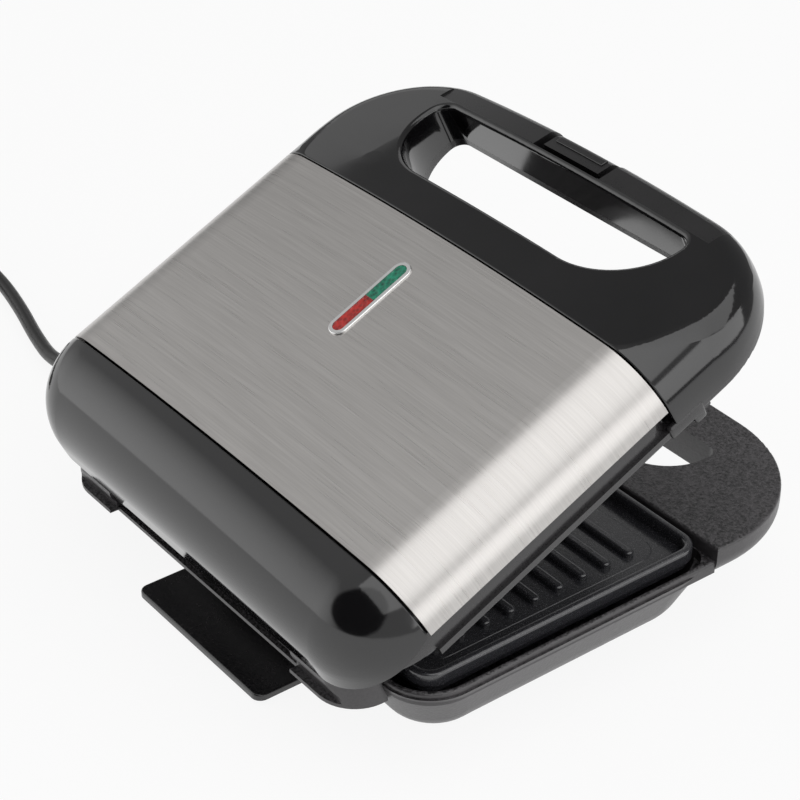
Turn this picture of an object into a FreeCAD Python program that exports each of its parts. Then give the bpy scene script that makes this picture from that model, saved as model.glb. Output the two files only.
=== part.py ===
"""Hinged sandwich maker: a ribbed base, a steel-topped lid, a handle latch and a mains cord.

Millimetres, +Z up. The origin is on the table, under the middle of the object with its lid
standing open at LID_REST_ANGLE. +Y is the hinge side and -Y is the handle side.
The lid's pieces are drawn closed and then turned about the hinge to that angle.
"""
import FreeCAD
import Part
import math
import os
from FreeCAD import Vector

# Plan outlines of the base ledge and the lid
HALF_WIDTH = 114.0
FRONT_Y = -114.3
FRONT_BOW = 2.5
LEDGE_CORNER_R = 57.0
LID_FRONT_Y = -113.3
LID_CORNER_R = 48.0
LID_BACK_Y = 104.9
BACK_CORNER_R = 32.0

# Hinge and lid motion
HINGE_Y = 97.7
HINGE_Z = 38.5
LID_REST_ANGLE = 24.9
PIN_R = 3.0
PIN_BORE_R = 1.7
PIN_RUNNING_GAP = 0.05
PIN_SEAT_GAP = 0.01
PIN_PROUD = 1.0
EAR_X = 50.5
EAR_WIDTH = 7.0
EAR_R = 6.0
EAR_FRONT_SHARE = 0.9
EAR_BACK_SHARE = 0.7
EAR_FRONT_RISE = 1.0

# Base shell
RIM_Z = 39.4
RIM_HEIGHT = 5.0
RIM_BACK_Y = 89.5
RIM_WIDTH = 2.4
RIM_CORNER_R = 20.0
LIP_INSET = 0.8
LIP_HEIGHT = 2.2
TUB_BOTTOM_Z = 12.0
TUB_FRONT_Y = -60.5
TUB_FRONT_R = 30.0
TUB_DRAFT = 10.0
TUB_BOTTOM_R = 18.0
TUB_WALL = 2.6
LEDGE_BACK_Y = -47.6
LEDGE_TOP_Z = 45.2
LEDGE_THICKNESS = 13.5
LEDGE_EDGE_R = 1.2
LEDGE_UNDER_R = 8.0
LEDGE_LIP = 0.4
SLOT_HALF = 68.0
SLOT_FRONT_Y = -92.3
SLOT_BACK_Y = -61.5
SLOT_BACK_R = 22.5
SLOT_FRONT_R = 5.0
KNUCKLE_X = 60.0
KNUCKLE_WALL = 6.5
KNUCKLE_R = 7.0
KNUCKLE_BACK_SHARE = 0.6
BLOCK_HALF = 93.0
BLOCK_BACK_Y = 105.0
BLOCK_CORNER_R = 16.0
BLOCK_BOTTOM_Z = 28.8
BLOCK_FLOOR = 1.5
WINDOW_BACK_Y = 101.5
LEAD_DUCT_WIDTH = 9.0
LEAD_DUCT_REACH = 10.4
LEAD_DUCT_DROP = 4.0
LEAD_DUCT_GAP = 1.0

# Cooking plates
PLATE_SIDE = 6.4
PLATE_HALF = HALF_WIDTH - PLATE_SIDE
PLATE_FRONT_Y = -46.4
PLATE_BACK_Y = 82.3
PLATE_TOP_Z = 44.7
PLATE_HEIGHT = 8.7
PLATE_FLOOR = 2.6
PLATE_RIM = 3.4
PLATE_RIM_ROUND = 1.36
PLATE_CORNER_R = 9.0
PLATE_GAP = 0.6
PLATE_FLANGE = 5.3
PLATE_UNDERCUT = 1.6
MOAT_WIDTH = 7.0
FIELD_RISE = 1.0
FIELD_ROUND_SHARE = 0.6
RIB_COUNT = 9
RIB_MIDDLE_Y = 20.3
RIB_PITCH = 11.25
RIB_INSET = 14.6
RIB_HALF = PLATE_HALF - RIB_INSET
RIB_WIDTH = 4.2
RIB_RISE = 2.4
RIB_ROUND = 1.3
RIB_END_SHARE = 0.48

# Heating parts
HEATER_R = 3.25
HEATER_MIDDLE_Y = 18.5
HEATER_GAP = 0.1
HEATER_INSET = 33.6
HEATER_HALF = PLATE_HALF - HEATER_INSET
HEATER_SPREAD = 31.0
REFLECTOR_T = 0.6
REFLECTOR_INSET = 13.6
REFLECTOR_HALF = PLATE_HALF - REFLECTOR_INSET
REFLECTOR_SPREAD = 53.8
REFLECTOR_HEM = 5.0
BOSS_INSET = 19.6
BOSS_X = PLATE_HALF - BOSS_INSET
BOSS_SPREAD = 43.0
BOSS_R = 5.0
BOSS_LENGTH = 10.0
SCREW_R = 2.0
SCREW_HEAD_R = 3.8
SCREW_HEAD = 2.4
SCREW_GRIP = 7.0
SCREW_GAP = 0.25
SCREW_TIP_GAP = 0.5

THERMOSTAT_X = 10.0
THERMOSTAT_R = 9.0
TAG_LENGTH = 6.0
TAG_WIDTH = 5.0
TAG_RISE = 1.5
TAG_T = 0.8
FUSE_X = -24.0
FUSE_R = 2.4
FUSE_HALF = 9.0
FUSE_LEAD = 7.0
FUSE_LEAD_R = 0.6
TERMINAL_HALF = 10.0
TERMINAL_DEPTH = 9.0
TERMINAL_H = 7.5
TERMINAL_SCREW_R = 2.2
TERMINAL_SCREW_DEPTH = 2.5
TERMINAL_TO_CORD = 14.0
HEATER_PIN = 8.0
HEATER_PIN_R = 1.3
LID_LEAD_X = 33.0
LID_LEAD_Z = 57.0
LID_LEAD_HOLE_R = 1.9

# Lid
LID_RIM_Z = 48.5
LID_TOP_Z = 84.6
LID_CROWN_R = 980.0
LID_EDGE_R = 28.0
LID_SPLIT_Z = 52.0
LID_SKIN_GAP = 0.3
STEEL_T = 0.7
STEEL_FRONT_Y = -39.7
STEEL_BACK_Y = 72.7
STEEL_EDGE_Z = 60.0
SEAM = 0.8
MOULDING_WALL = 2.6
COVER_WALL = 2.2
COVER_EDGE_Z = 46.2
COVER_RISE = 0.46
COVER_SKIRT = 12.0
COVER_CUT_REACH = 10.0
COVER_SCREW_X = 70.4
COVER_SCREW_SHARE = 0.55
SEAM_EDGE_R = 0.6
STRIP_INSET = 2.2
FLANGE_INSET = 0.6
TRAY_SIDE = 6.8
TRAY_HALF = HALF_WIDTH - TRAY_SIDE
TRAY_FRONT_Y = -51.0
TRAY_BACK_Y = 90.0
TRAY_WALL = 2.4
TRAY_TOP_Z = 67.0
PLATE_CLEARANCE = 0.7
TAB_Y = -55.0
TAB_WIDTH = 3.6
TAB_DROP = 1.6
TAB_T = 2.2
TAB_INSET = 1.0

# Hand hole and bar of the lid handle
DECK_SLOPE = 12.0
DECK_EDGE_R = 10.0
HOLE_HALF = 71.0
HOLE_FRONT_Y = -96.5
HOLE_BACK_Y = -60.0
HOLE_BACK_R = 30.0
HOLE_FRONT_R = 6.0
HOLE_EDGE_R = 2.0
HOLE_LIP_RISE = 4.0
HANDLE_POST_R = 4.4
HANDLE_SCREW_X = 64.0
PANEL_HALF = 77.0
PANEL_DEPTH = 0.8
PANEL_INNER_Y = -99.0

# Latch
LATCH_HALF = 15.5
LATCH_END_GAP = 3.3
LATCH_NOTCH_GAP = 0.5
LATCH_PIVOT_Y = -104.8
LATCH_PIVOT_Z = 63.0
LATCH_BARREL_R = 3.2
LATCH_PIN_R = 1.2
LATCH_LEG = 2.2
LATCH_LEG_SINK = 0.7
LATCH_LEG_SWING = 3.0
LATCH_FOOT_Z = 40.0
LATCH_TOP = 2.0
LATCH_HOOK = 3.3
LATCH_SWING_GAP = 3.0
LATCH_SINK = 0.5
CATCH_DEPTH = 11.0
CATCH_NIB = 3.3
CATCH_NIB_T = 2.6
CATCH_GAP = 0.6
CATCH_END_GAP = 1.5

# Lamps
LAMP_Y = -4.5
LAMP_LENGTH = 39.0
LAMP_WIDTH = 8.4
BEZEL_RIM = 1.6
BEZEL_PROUD = 0.7
BEZEL_ROUND = 0.35
BEZEL_LAP = 0.7
BEZEL_SKIRT_GAP = 0.1
BEZEL_DEPTH = 6.0
LENS_GAP = 0.05
LENS_PROUD = 0.5
LENS_T = 2.9
LAMP_R = 2.6
LAMP_BODY = 11.0
LAMP_LENS_GAP = 0.2
LAMP_SEAT_GAP = 0.02
LAMP_HOLE_LENGTH = 19.5
HOLDER_T = 1.6
HOLDER_MARGIN = 6.0
HOLDER_POST_R = 1.6
HOLDER_POST_INSET = 2.2
PILL_END_FLAT = 0.01

# Feet and cord wrap
FOOT_INSET = 31.5
FOOT_X = HALF_WIDTH - FOOT_INSET
FOOT_Y = -29.8
FOOT_R = 6.0
FOOT_TOP_R = 7.0
FOOT_EDGE_R = 1.0
REAR_FOOT_X = 33.0
REAR_FOOT_Y = 100.0
REAR_FOOT_R = 4.5
STUD_PEG_R = 2.7
STUD_PEG_DEPTH = 1.3
WRAP_HALF = 41.0
WRAP_BACK_Y = 106.5
WRAP_FRONT_Y = 30.0
WRAP_Z = 2.4
WRAP_T = 2.6
WRAP_CORNER_R = 4.0
WRAP_EDGE_R = 0.78
WRAP_NECK_HALF = 26.0
WRAP_NECK_BACK_Y = 56.0
WRAP_SCREW_X = 17.0
WRAP_HOLE_ROOF = 1.5

# Mains cord
CORD_R = 3.3
CORD_EXIT_Y = 46.0
CORD_EXIT_Z = 20.5
GLAND_SEAT = 13.0
GLAND_INNER_X = HALF_WIDTH - GLAND_SEAT
GLAND_NECK = 6.0
GLAND_NECK_X = HALF_WIDTH - GLAND_NECK
GLAND_LENGTH = 28.0
GLAND_ROOT_R = 6.0
GLAND_TIP_R = 4.4
GLAND_BORE_GAP = 0.02
CLAMP_SET = 6.0
CLAMP_X = GLAND_INNER_X - CLAMP_SET
CLAMP_WIDTH = 5.0
CLAMP_T = 2.5
CLAMP_SPREAD = 7.0
CLAMP_SCREW_R = 1.5
CLAMP_HEAD_R = 2.6
CORD_TAIL = 3.0
CORD_INNER_X = CLAMP_X - CORD_TAIL
TERMINAL_SET = 20.0
TERMINAL_X = CORD_INNER_X - TERMINAL_SET
CORD_WAY = 5.0
CORE_OFFSET = 1.32
LEAD_R = 0.9
LEAD_SIDE_GAP = 4.0
CORD_START_X = GLAND_NECK_X + GLAND_LENGTH
COIL_AHEAD = 204.0
COIL_X = CORD_START_X + COIL_AHEAD
COIL_ASIDE = 24.0
COIL_Y = CORD_EXIT_Y + COIL_ASIDE
COIL_OUTER_R = 40.0
COIL_STEP = 9.0
COIL_LIFT = 1.4
COIL_LAYER = 7.2
TIE_T = 0.9
TIE_WIDTH = 8.0
TIE_SIDE_GAP = 0.8
TIE_GAP = 0.15
TIE_CORNER_R = 2.97
TIE_PLACE_SHARE = 0.75
PLUG_LENGTH = 34.0
PLUG_WIDTH = 36.0
PLUG_SLEEVE = 26.0
PLUG_SLEEVE_R = 4.6
PLUG_SLEEVE_ROOT_R = 6.9
PLUG_LIFT = 0.2
PLUG_EDGE_R = 4.0
PLUG_PIN_R = 2.4
PLUG_PIN_ROUND = 1.68
PLUG_PIN_LENGTH = 19.0
PLUG_PIN_SPACING = 19.0
PLUG_PIN_SEAT = 8.0

# Working lengths: beyond every part, a cutter's run past a face, the root of a piece that is fused
# into another, the room to look for an edge in, and the share of a run that an arc may take
FAR = 400.0
OVERRUN = 1.0
ROOT_SINK = 0.5
SEARCH = 0.5
EDGE_TOL = 0.01
ARC_SHARE = 0.45
GAP_TEST_STEP = 3.0

# Bends of the cord: as it falls, from where it leaves the gland, and on the table, where the last
# value is the height of its underside
CORD_FALL = [(21.0, 0.0, 0.0), (43.0, 3.5, -6.0)]
CORD_LIE = [(67.0, 3.6, 3.5), (93.0, -2.4, 0.7), (120.0, -9.8, 0.3), (147.0, -15.0, 0.5)]
CORD_TURN_IN = 173.0

# Bends of the leads, each from the piece that it is nearest to
FEED_RUNS = [(8.0, 7.5), (12.0, 8.5)]
HEATER_LEAD_DROP = 9.0
HEATER_LEAD_LOW = [(-12.0, -13.0, 1.15), (-2.0, -9.0, 4.15)]
HEATER_LEAD_HIGH = [(0.0, 1.0, -4.15), (0.0, 15.0, -1.15)]
HEATER_LEAD_RUN = 11.5
TAG_LEAD_BENDS = [(8.0, 0.0, 0.0), (9.0, 8.0, -1.05), (-2.0, 20.0, -3.05)]
TAG_LEAD_RUN = 25.0
HINGE_LEAD_LOW = [(-8.0, 0.0, 0.0), (-12.0, 8.5, 0.45), (-12.0, 28.5, 1.45)]
HINGE_LEAD_HIGH = [(-17.0, -16.0, -16.2), (-12.0, -12.9, -10.5), (-1.0, -9.5, -5.5), (0.0, -1.5, -0.8)]
LID_LEAD_HINGE = [(7.0, 0.0, 0.0), (1.0, -1.5, 7.5)]
LID_LEAD_HOLE = [(0.0, 4.0, -2.5), (0.0, -1.0, 0.0), (2.0, -10.0, 0.0)]
LID_LEAD_PIN = [(-30.0, 18.5, 0.0), (-8.0, 9.0, 0.0), (4.0, 5.5, 0.0), (9.0, 0.0, 0.0)]


def box(x0, x1, y0, y1, z0, z1):
    return Part.makeBox(x1 - x0, y1 - y0, z1 - z0, Vector(x0, y0, z0))


def rod_x(x0, x1, y, z, r):
    return Part.makeCylinder(r, x1 - x0, Vector(x0, y, z), Vector(1, 0, 0))


def rod_z(x, y, z0, z1, r):
    return Part.makeCylinder(r, z1 - z0, Vector(x, y, z0), Vector(0, 0, 1))


def fused(shapes):
    whole = shapes[0]
    for shape in shapes[1:]:
        whole = whole.fuse(shape)
    return whole.removeSplitter()


def mirrored_x(shape):
    return shape.mirror(Vector(0, 0, 0), Vector(1, 0, 0))


def both_sides(shape):
    return Part.makeCompound([shape, mirrored_x(shape)])


def upright_edges(solid, y_low, y_high):
    """Edges that run straight up, with their foot between two Y values."""
    found = []
    for edge in solid.Edges:
        first, last = edge.Vertexes[0].Point, edge.Vertexes[-1].Point
        if abs(first.x - last.x) + abs(first.y - last.y) < 1e-6 and y_low < first.y < y_high:
            found.append(edge)
    return found


def highest_face(solid):
    return max(solid.Faces, key=lambda face: face.CenterOfMass.z)


def lowest_face(solid):
    return min(solid.Faces, key=lambda face: face.CenterOfMass.z)


def rounded_block(half, y0, y1, z0, z1, r):
    block = box(-half, half, y0, y1, z0, z1)
    return block.makeFillet(r, upright_edges(block, y0 - OVERRUN, y1 + OVERRUN))


def d_block(half, y_front, y_back, r_back, r_front, z0, z1):
    """A block with large corners towards +Y and small ones towards -Y."""
    block = box(-half, half, y_front, y_back, z0, z1)
    middle = (y_front + y_back) / 2
    block = block.makeFillet(r_back, upright_edges(block, middle, y_back + OVERRUN))
    return block.makeFillet(r_front, upright_edges(block, y_front - OVERRUN, middle))


def arc_through(start, middle, end):
    return Part.Arc(Vector(*start), Vector(*middle), Vector(*end)).toShape()


def outline_block(half, front, corner_r, y_back, z0, z1):
    """A plan with a bowed front and round front corners, extruded between two heights."""
    side_front = front + FRONT_BOW
    edges = [
        Part.makeLine(Vector(half, side_front, z0), Vector(half, y_back, z0)),
        Part.makeLine(Vector(half, y_back, z0), Vector(-half, y_back, z0)),
        Part.makeLine(Vector(-half, y_back, z0), Vector(-half, side_front, z0)),
        arc_through((-half, side_front, z0), (0, front, z0), (half, side_front, z0)),
    ]
    block = Part.Face(Part.Wire(edges)).extrude(Vector(0, 0, z1 - z0))
    return block.makeFillet(corner_r, upright_edges(block, front - OVERRUN, side_front + OVERRUN))


def lid_outline(inset, y_back, z0, z1):
    return outline_block(HALF_WIDTH - inset, LID_FRONT_Y + inset, LID_CORNER_R - inset, y_back, z0, z1)


def lid_plan(inset, z0, z1):
    """The whole plan of the lid, with its round back corners."""
    back = LID_BACK_Y - inset
    block = lid_outline(inset, back, z0, z1)
    return block.makeFillet(BACK_CORNER_R - inset, upright_edges(block, back - OVERRUN, FAR))


def yz_prism(points, x0, x1):
    corners = [Vector(x0, y, z) for y, z in points]
    face = Part.Face(Part.makePolygon(corners + corners[:1]))
    return face.extrude(Vector(x1 - x0, 0, 0))


def tub_ring(half, y_front, y_back, z):
    """The wire of the tub's plan at one height, with wider corners in front than at the back."""
    block = d_block(half, y_front, y_back, RIM_CORNER_R, TUB_FRONT_R, z, z + OVERRUN)
    return lowest_face(block).OuterWire


# Base


def tub(inset, bottom_z, top_z):
    """The drafted bowl of the base, with its rounded lower edge."""
    top_half = HALF_WIDTH - inset
    front = TUB_FRONT_Y + inset
    back = RIM_BACK_Y - inset
    low = tub_ring(top_half - TUB_DRAFT, front + TUB_DRAFT, back - TUB_DRAFT, bottom_z)
    high = tub_ring(top_half, front, back, top_z)
    bowl = Part.makeLoft([low, high], True, True)
    return bowl.makeFillet(TUB_BOTTOM_R - inset, lowest_face(bowl).Edges)


def block_plan(z0, z1):
    """The plan of the hinge block behind the tub, with its round back corners."""
    root_y = RIM_BACK_Y - TUB_WALL
    block = box(-BLOCK_HALF, BLOCK_HALF, root_y, BLOCK_BACK_Y, z0, z1)
    return block.makeFillet(BLOCK_CORNER_R, upright_edges(block, BLOCK_BACK_Y - OVERRUN, FAR))


def knuckle(side):
    """One solid end of the hinge block, round about the hinge axis where the lid swings past."""
    root_y = RIM_BACK_Y - TUB_WALL
    top_z = HINGE_Z + KNUCKLE_R
    lower_y = HINGE_Y + KNUCKLE_R * KNUCKLE_BACK_SHARE
    foot = box(KNUCKLE_X, BLOCK_HALF, root_y, BLOCK_BACK_Y, BLOCK_BOTTOM_Z, BLOCK_BOTTOM_Z + BLOCK_FLOOR)
    body = box(KNUCKLE_X, BLOCK_HALF, root_y, HINGE_Y, BLOCK_BOTTOM_Z, top_z)
    lower = box(KNUCKLE_X, BLOCK_HALF, HINGE_Y - KNUCKLE_R, lower_y, BLOCK_BOTTOM_Z, HINGE_Z)
    barrel = rod_x(KNUCKLE_X, BLOCK_HALF, HINGE_Y, HINGE_Z, KNUCKLE_R)
    over_rim = box(KNUCKLE_X, BLOCK_HALF, root_y - OVERRUN, HINGE_Y - KNUCKLE_R, RIM_Z, top_z + OVERRUN)
    whole = fused([foot, body, lower, barrel]).cut(over_rim)
    whole = whole.common(block_plan(BLOCK_BOTTOM_Z - OVERRUN, top_z + OVERRUN))
    return whole if side > 0 else mirrored_x(whole)


def boss_places():
    return [(sx * BOSS_X, HEATER_MIDDLE_Y + sy * BOSS_SPREAD) for sx in (-1, 1) for sy in (-1, 1)]


def wrap_screw_places():
    y = (WRAP_FRONT_Y + WRAP_NECK_BACK_Y) / 2
    return [(-WRAP_SCREW_X, y), (WRAP_SCREW_X, y)]


PLATE_BOTTOM_Z = PLATE_TOP_Z - PLATE_HEIGHT
BOSS_FOOT_Z = PLATE_BOTTOM_Z - BOSS_LENGTH
POST_TOP_Z = BOSS_FOOT_Z - REFLECTOR_T
PLATE_STEP_Z = PLATE_TOP_Z - PLATE_FLANGE
TUB_TOP_Z = RIM_Z - LIP_HEIGHT
LATCH_LEG_Y = LID_FRONT_Y + LATCH_LEG_SINK
NOTCH_HALF = LATCH_HALF + LATCH_END_GAP
TUB_FLOOR_Z = TUB_BOTTOM_Z + TUB_WALL
EAR_END_X = EAR_X + EAR_WIDTH
PIN_INNER_X = EAR_X - PIN_PROUD
PIN_OUTER_X = KNUCKLE_X + KNUCKLE_WALL


def ledge_slab():
    under_z = LEDGE_TOP_Z - LEDGE_THICKNESS
    slab = outline_block(HALF_WIDTH, FRONT_Y, LEDGE_CORNER_R, LEDGE_BACK_Y, under_z, LEDGE_TOP_Z)
    ahead = [e for e in lowest_face(slab).Edges if e.CenterOfMass.y < LEDGE_BACK_Y - SEARCH]
    slab = slab.makeFillet(LEDGE_UNDER_R, ahead)
    return slab.makeFillet(LEDGE_EDGE_R, highest_face(slab).Edges)


def catch_recess():
    """The pocket in the ledge's front that takes the latch, less the nib that it hooks under."""
    half = LATCH_HALF + CATCH_END_GAP
    deep = FRONT_Y + CATCH_DEPTH
    under_z = LEDGE_TOP_Z - LEDGE_THICKNESS
    pocket = box(-half, half, FRONT_Y - OVERRUN, deep, under_z - OVERRUN, LEDGE_TOP_Z + OVERRUN)
    nib_z = LATCH_FOOT_Z + LATCH_TOP + CATCH_GAP
    side = half + OVERRUN
    nib = box(-side, side, deep - CATCH_NIB, deep + OVERRUN, nib_z, nib_z + CATCH_NIB_T)
    return pocket.cut(nib)


def base_shell():
    outer = tub(0, TUB_BOTTOM_Z, TUB_TOP_Z)
    rim = rounded_block(HALF_WIDTH - LIP_INSET, LEDGE_BACK_Y - RIM_CORNER_R * 2, RIM_BACK_Y - LIP_INSET,
                        RIM_Z - RIM_HEIGHT, RIM_Z, RIM_CORNER_R - LIP_INSET)
    rim = rim.common(between_y(LEDGE_BACK_Y, FAR))
    behind = [e for e in highest_face(rim).Edges if e.CenterOfMass.y > LEDGE_BACK_Y + SEARCH]
    rim = rim.makeFillet(LEDGE_EDGE_R, behind)
    floor_half = KNUCKLE_X + ROOT_SINK
    floor_plate = box(-floor_half, floor_half, RIM_BACK_Y - TUB_WALL, WINDOW_BACK_Y, BLOCK_BOTTOM_Z,
                      BLOCK_BOTTOM_Z + BLOCK_FLOOR)
    shell = fused([outer, rim, ledge_slab(), floor_plate, knuckle(-1), knuckle(1)])

    cavity = tub(TUB_WALL, TUB_FLOOR_Z, TUB_TOP_Z)
    well = d_block(HALF_WIDTH - RIM_WIDTH, LEDGE_BACK_Y + LEDGE_LIP, RIM_BACK_Y - RIM_WIDTH,
                   RIM_CORNER_R - RIM_WIDTH, PLATE_CORNER_R, PLATE_BOTTOM_Z - PLATE_GAP, RIM_Z + OVERRUN)
    under_ledge = box(-2 * HALF_WIDTH, 2 * HALF_WIDTH, 2 * FRONT_Y, LEDGE_BACK_Y + LEDGE_LIP,
                      LEDGE_TOP_Z - LEDGE_THICKNESS, LEDGE_TOP_Z)
    shell = shell.cut(cavity.cut(under_ledge)).cut(well)
    shell = shell.cut(d_block(SLOT_HALF, SLOT_FRONT_Y, SLOT_BACK_Y, SLOT_BACK_R, SLOT_FRONT_R,
                              TUB_BOTTOM_Z, LEDGE_TOP_Z + OVERRUN))
    shell = shell.cut(catch_recess())

    for x, y in boss_places():
        shell = shell.fuse(rod_z(x, y, TUB_FLOOR_Z - ROOT_SINK, POST_TOP_Z, BOSS_R))
    for x, y in wrap_screw_places():
        shell = shell.fuse(rod_z(x, y, TUB_FLOOR_Z - ROOT_SINK, TUB_FLOOR_Z + SCREW_GRIP, BOSS_R))
    head_seat = TUB_BOTTOM_Z + SCREW_HEAD
    for x, y in boss_places():
        shell = shell.cut(rod_z(x, y, 0, head_seat, SCREW_HEAD_R + SCREW_GAP))
        shell = shell.cut(rod_z(x, y, 0, POST_TOP_Z + OVERRUN, SCREW_R + SCREW_GAP))
    for x, y in wrap_screw_places():
        shell = shell.cut(rod_z(x, y, 0, TUB_FLOOR_Z + SCREW_GRIP - WRAP_HOLE_ROOF, SCREW_R))
    for side in (-1, 1):
        inner, outer_x = sorted((side * (KNUCKLE_X - OVERRUN), side * PIN_OUTER_X))
        shell = shell.cut(rod_x(inner, outer_x, HINGE_Y, HINGE_Z, PIN_R + PIN_SEAT_GAP))
    duct_x = PIN_OUTER_X + LEAD_DUCT_WIDTH
    above = PIN_BORE_R + LEAD_DUCT_GAP
    below = PIN_BORE_R + LEAD_DUCT_DROP
    shell = shell.cut(box(PIN_OUTER_X, duct_x, RIM_BACK_Y - LEAD_DUCT_REACH, HINGE_Y + above,
                          HINGE_Z - below, HINGE_Z + above))
    for x, y in clamp_screw_places():
        post = rod_z(x, y, TUB_BOTTOM_Z, CORD_EXIT_Z + CORD_R, CLAMP_HEAD_R)
        shell = shell.fuse(post.common(outer))
        shell = shell.cut(rod_z(x, y, CORD_EXIT_Z - CORD_R, RIM_Z, CLAMP_SCREW_R))
    shell = shell.cut(rod_x(GLAND_INNER_X, 2 * HALF_WIDTH, CORD_EXIT_Y, CORD_EXIT_Z, GLAND_ROOT_R))
    way_x = CLAMP_X - CORD_WAY
    shell = shell.cut(rod_x(way_x, GLAND_INNER_X + OVERRUN, CORD_EXIT_Y, CORD_EXIT_Z, GLAND_ROOT_R))
    return shell.removeSplitter()


def cooking_plate():
    """A ribbed plate facing up, with a rim, a drip moat and four screw bosses below."""
    body = rounded_block(PLATE_HALF, PLATE_FRONT_Y, PLATE_BACK_Y, PLATE_STEP_Z, PLATE_TOP_Z, PLATE_CORNER_R)
    floor_z = PLATE_BOTTOM_Z + PLATE_FLOOR
    inner_r = PLATE_CORNER_R - PLATE_RIM
    well = rounded_block(PLATE_HALF - PLATE_RIM, PLATE_FRONT_Y + PLATE_RIM, PLATE_BACK_Y - PLATE_RIM,
                         floor_z, PLATE_TOP_Z + OVERRUN, inner_r)
    body = body.cut(well)
    body = body.makeFillet(PLATE_RIM_ROUND, highest_face(body).Edges)
    under = PLATE_UNDERCUT
    body = body.fuse(rounded_block(PLATE_HALF - under, PLATE_FRONT_Y + under, PLATE_BACK_Y - under,
                                   PLATE_BOTTOM_Z, PLATE_STEP_Z, PLATE_CORNER_R - under))
    step = PLATE_RIM + MOAT_WIDTH
    field_z = floor_z + FIELD_RISE
    field = rounded_block(PLATE_HALF - step, PLATE_FRONT_Y + step, PLATE_BACK_Y - step,
                          floor_z - ROOT_SINK, field_z, PLATE_CORNER_R)
    body = body.fuse(field.makeFillet(FIELD_RISE * FIELD_ROUND_SHARE, highest_face(field).Edges))
    first = RIB_MIDDLE_Y - RIB_PITCH * (RIB_COUNT - 1) / 2
    for index in range(RIB_COUNT):
        y = first + index * RIB_PITCH
        rib = rounded_block(RIB_HALF, y - RIB_WIDTH / 2, y + RIB_WIDTH / 2, field_z - ROOT_SINK,
                            field_z + RIB_RISE, RIB_WIDTH * RIB_END_SHARE)
        body = body.fuse(rib.makeFillet(RIB_ROUND, highest_face(rib).Edges))
    for x, y in boss_places():
        body = body.fuse(rod_z(x, y, BOSS_FOOT_Z, PLATE_BOTTOM_Z + ROOT_SINK, BOSS_R))
    hole_z = BOSS_FOOT_Z + SCREW_GRIP + SCREW_TIP_GAP
    for x, y in boss_places():
        body = body.cut(rod_z(x, y, BOSS_FOOT_Z - OVERRUN, hole_z, SCREW_R))
    return body.removeSplitter()


def plate_screws():
    screws = []
    for x, y in boss_places():
        head = rod_z(x, y, TUB_BOTTOM_Z, TUB_BOTTOM_Z + SCREW_HEAD, SCREW_HEAD_R)
        shank = rod_z(x, y, TUB_BOTTOM_Z, BOSS_FOOT_Z + SCREW_GRIP, SCREW_R)
        screws.append(fused([head, shank]))
    return Part.makeCompound(screws)


def heater_path(z):
    """A hairpin under the plate, its two ends towards +X."""
    middle = HEATER_MIDDLE_Y
    low, high = middle - HEATER_SPREAD, middle + HEATER_SPREAD
    turn_x = -HEATER_HALF + HEATER_SPREAD
    edges = [
        Part.makeLine(Vector(HEATER_HALF, low, z), Vector(turn_x, low, z)),
        arc_through((turn_x, low, z), (-HEATER_HALF, middle, z), (turn_x, high, z)),
        Part.makeLine(Vector(turn_x, high, z), Vector(HEATER_HALF, high, z)),
    ]
    return Part.Wire(edges)


HEATER_Z = PLATE_BOTTOM_Z - HEATER_GAP - HEATER_R


def heater():
    path = heater_path(HEATER_Z)
    middle = HEATER_MIDDLE_Y
    ring = Part.makeCircle(HEATER_R, Vector(HEATER_HALF, middle - HEATER_SPREAD, HEATER_Z), Vector(1, 0, 0))
    tube = path.makePipe(Part.Face(Part.Wire(ring)))
    pins = []
    for side in (-1, 1):
        y = middle + side * HEATER_SPREAD
        pins.append(rod_x(HEATER_HALF - ROOT_SINK, HEATER_HALF + HEATER_PIN, y, HEATER_Z, HEATER_PIN_R))
    return fused([tube] + pins)


def reflector():
    """A folded tray that lies on the posts under the heater and carries its clips."""
    y0 = HEATER_MIDDLE_Y - REFLECTOR_SPREAD
    y1 = HEATER_MIDDLE_Y + REFLECTOR_SPREAD
    top = POST_TOP_Z + REFLECTOR_HEM
    tray = rounded_block(REFLECTOR_HALF, y0, y1, POST_TOP_Z, top, PLATE_CORNER_R)
    inner = rounded_block(REFLECTOR_HALF - REFLECTOR_T, y0 + REFLECTOR_T, y1 - REFLECTOR_T,
                          POST_TOP_Z + REFLECTOR_T, top + OVERRUN, PLATE_CORNER_R - REFLECTOR_T)
    tray = tray.cut(inner)
    saddle_z = HEATER_Z - HEATER_R - HEATER_GAP
    for side in (-1, 1):
        y = HEATER_MIDDLE_Y + side * HEATER_SPREAD
        tray = tray.fuse(box(-HEATER_R, HEATER_R, y - HEATER_R, y + HEATER_R, POST_TOP_Z, saddle_z))
    for x, y in boss_places():
        tray = tray.cut(rod_z(x, y, POST_TOP_Z - OVERRUN, top + OVERRUN, SCREW_R + SCREW_GAP))
    return tray.removeSplitter()


def thermostat():
    seat = POST_TOP_Z + REFLECTOR_T
    can = rod_z(THERMOSTAT_X, HEATER_MIDDLE_Y, seat, PLATE_BOTTOM_Z, THERMOSTAT_R)
    reach = THERMOSTAT_R + TAG_LENGTH
    tags = box(THERMOSTAT_X - reach, THERMOSTAT_X + reach, HEATER_MIDDLE_Y - TAG_WIDTH / 2,
               HEATER_MIDDLE_Y + TAG_WIDTH / 2, seat + TAG_RISE, seat + TAG_RISE + TAG_T)
    return fused([can, tags])


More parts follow.
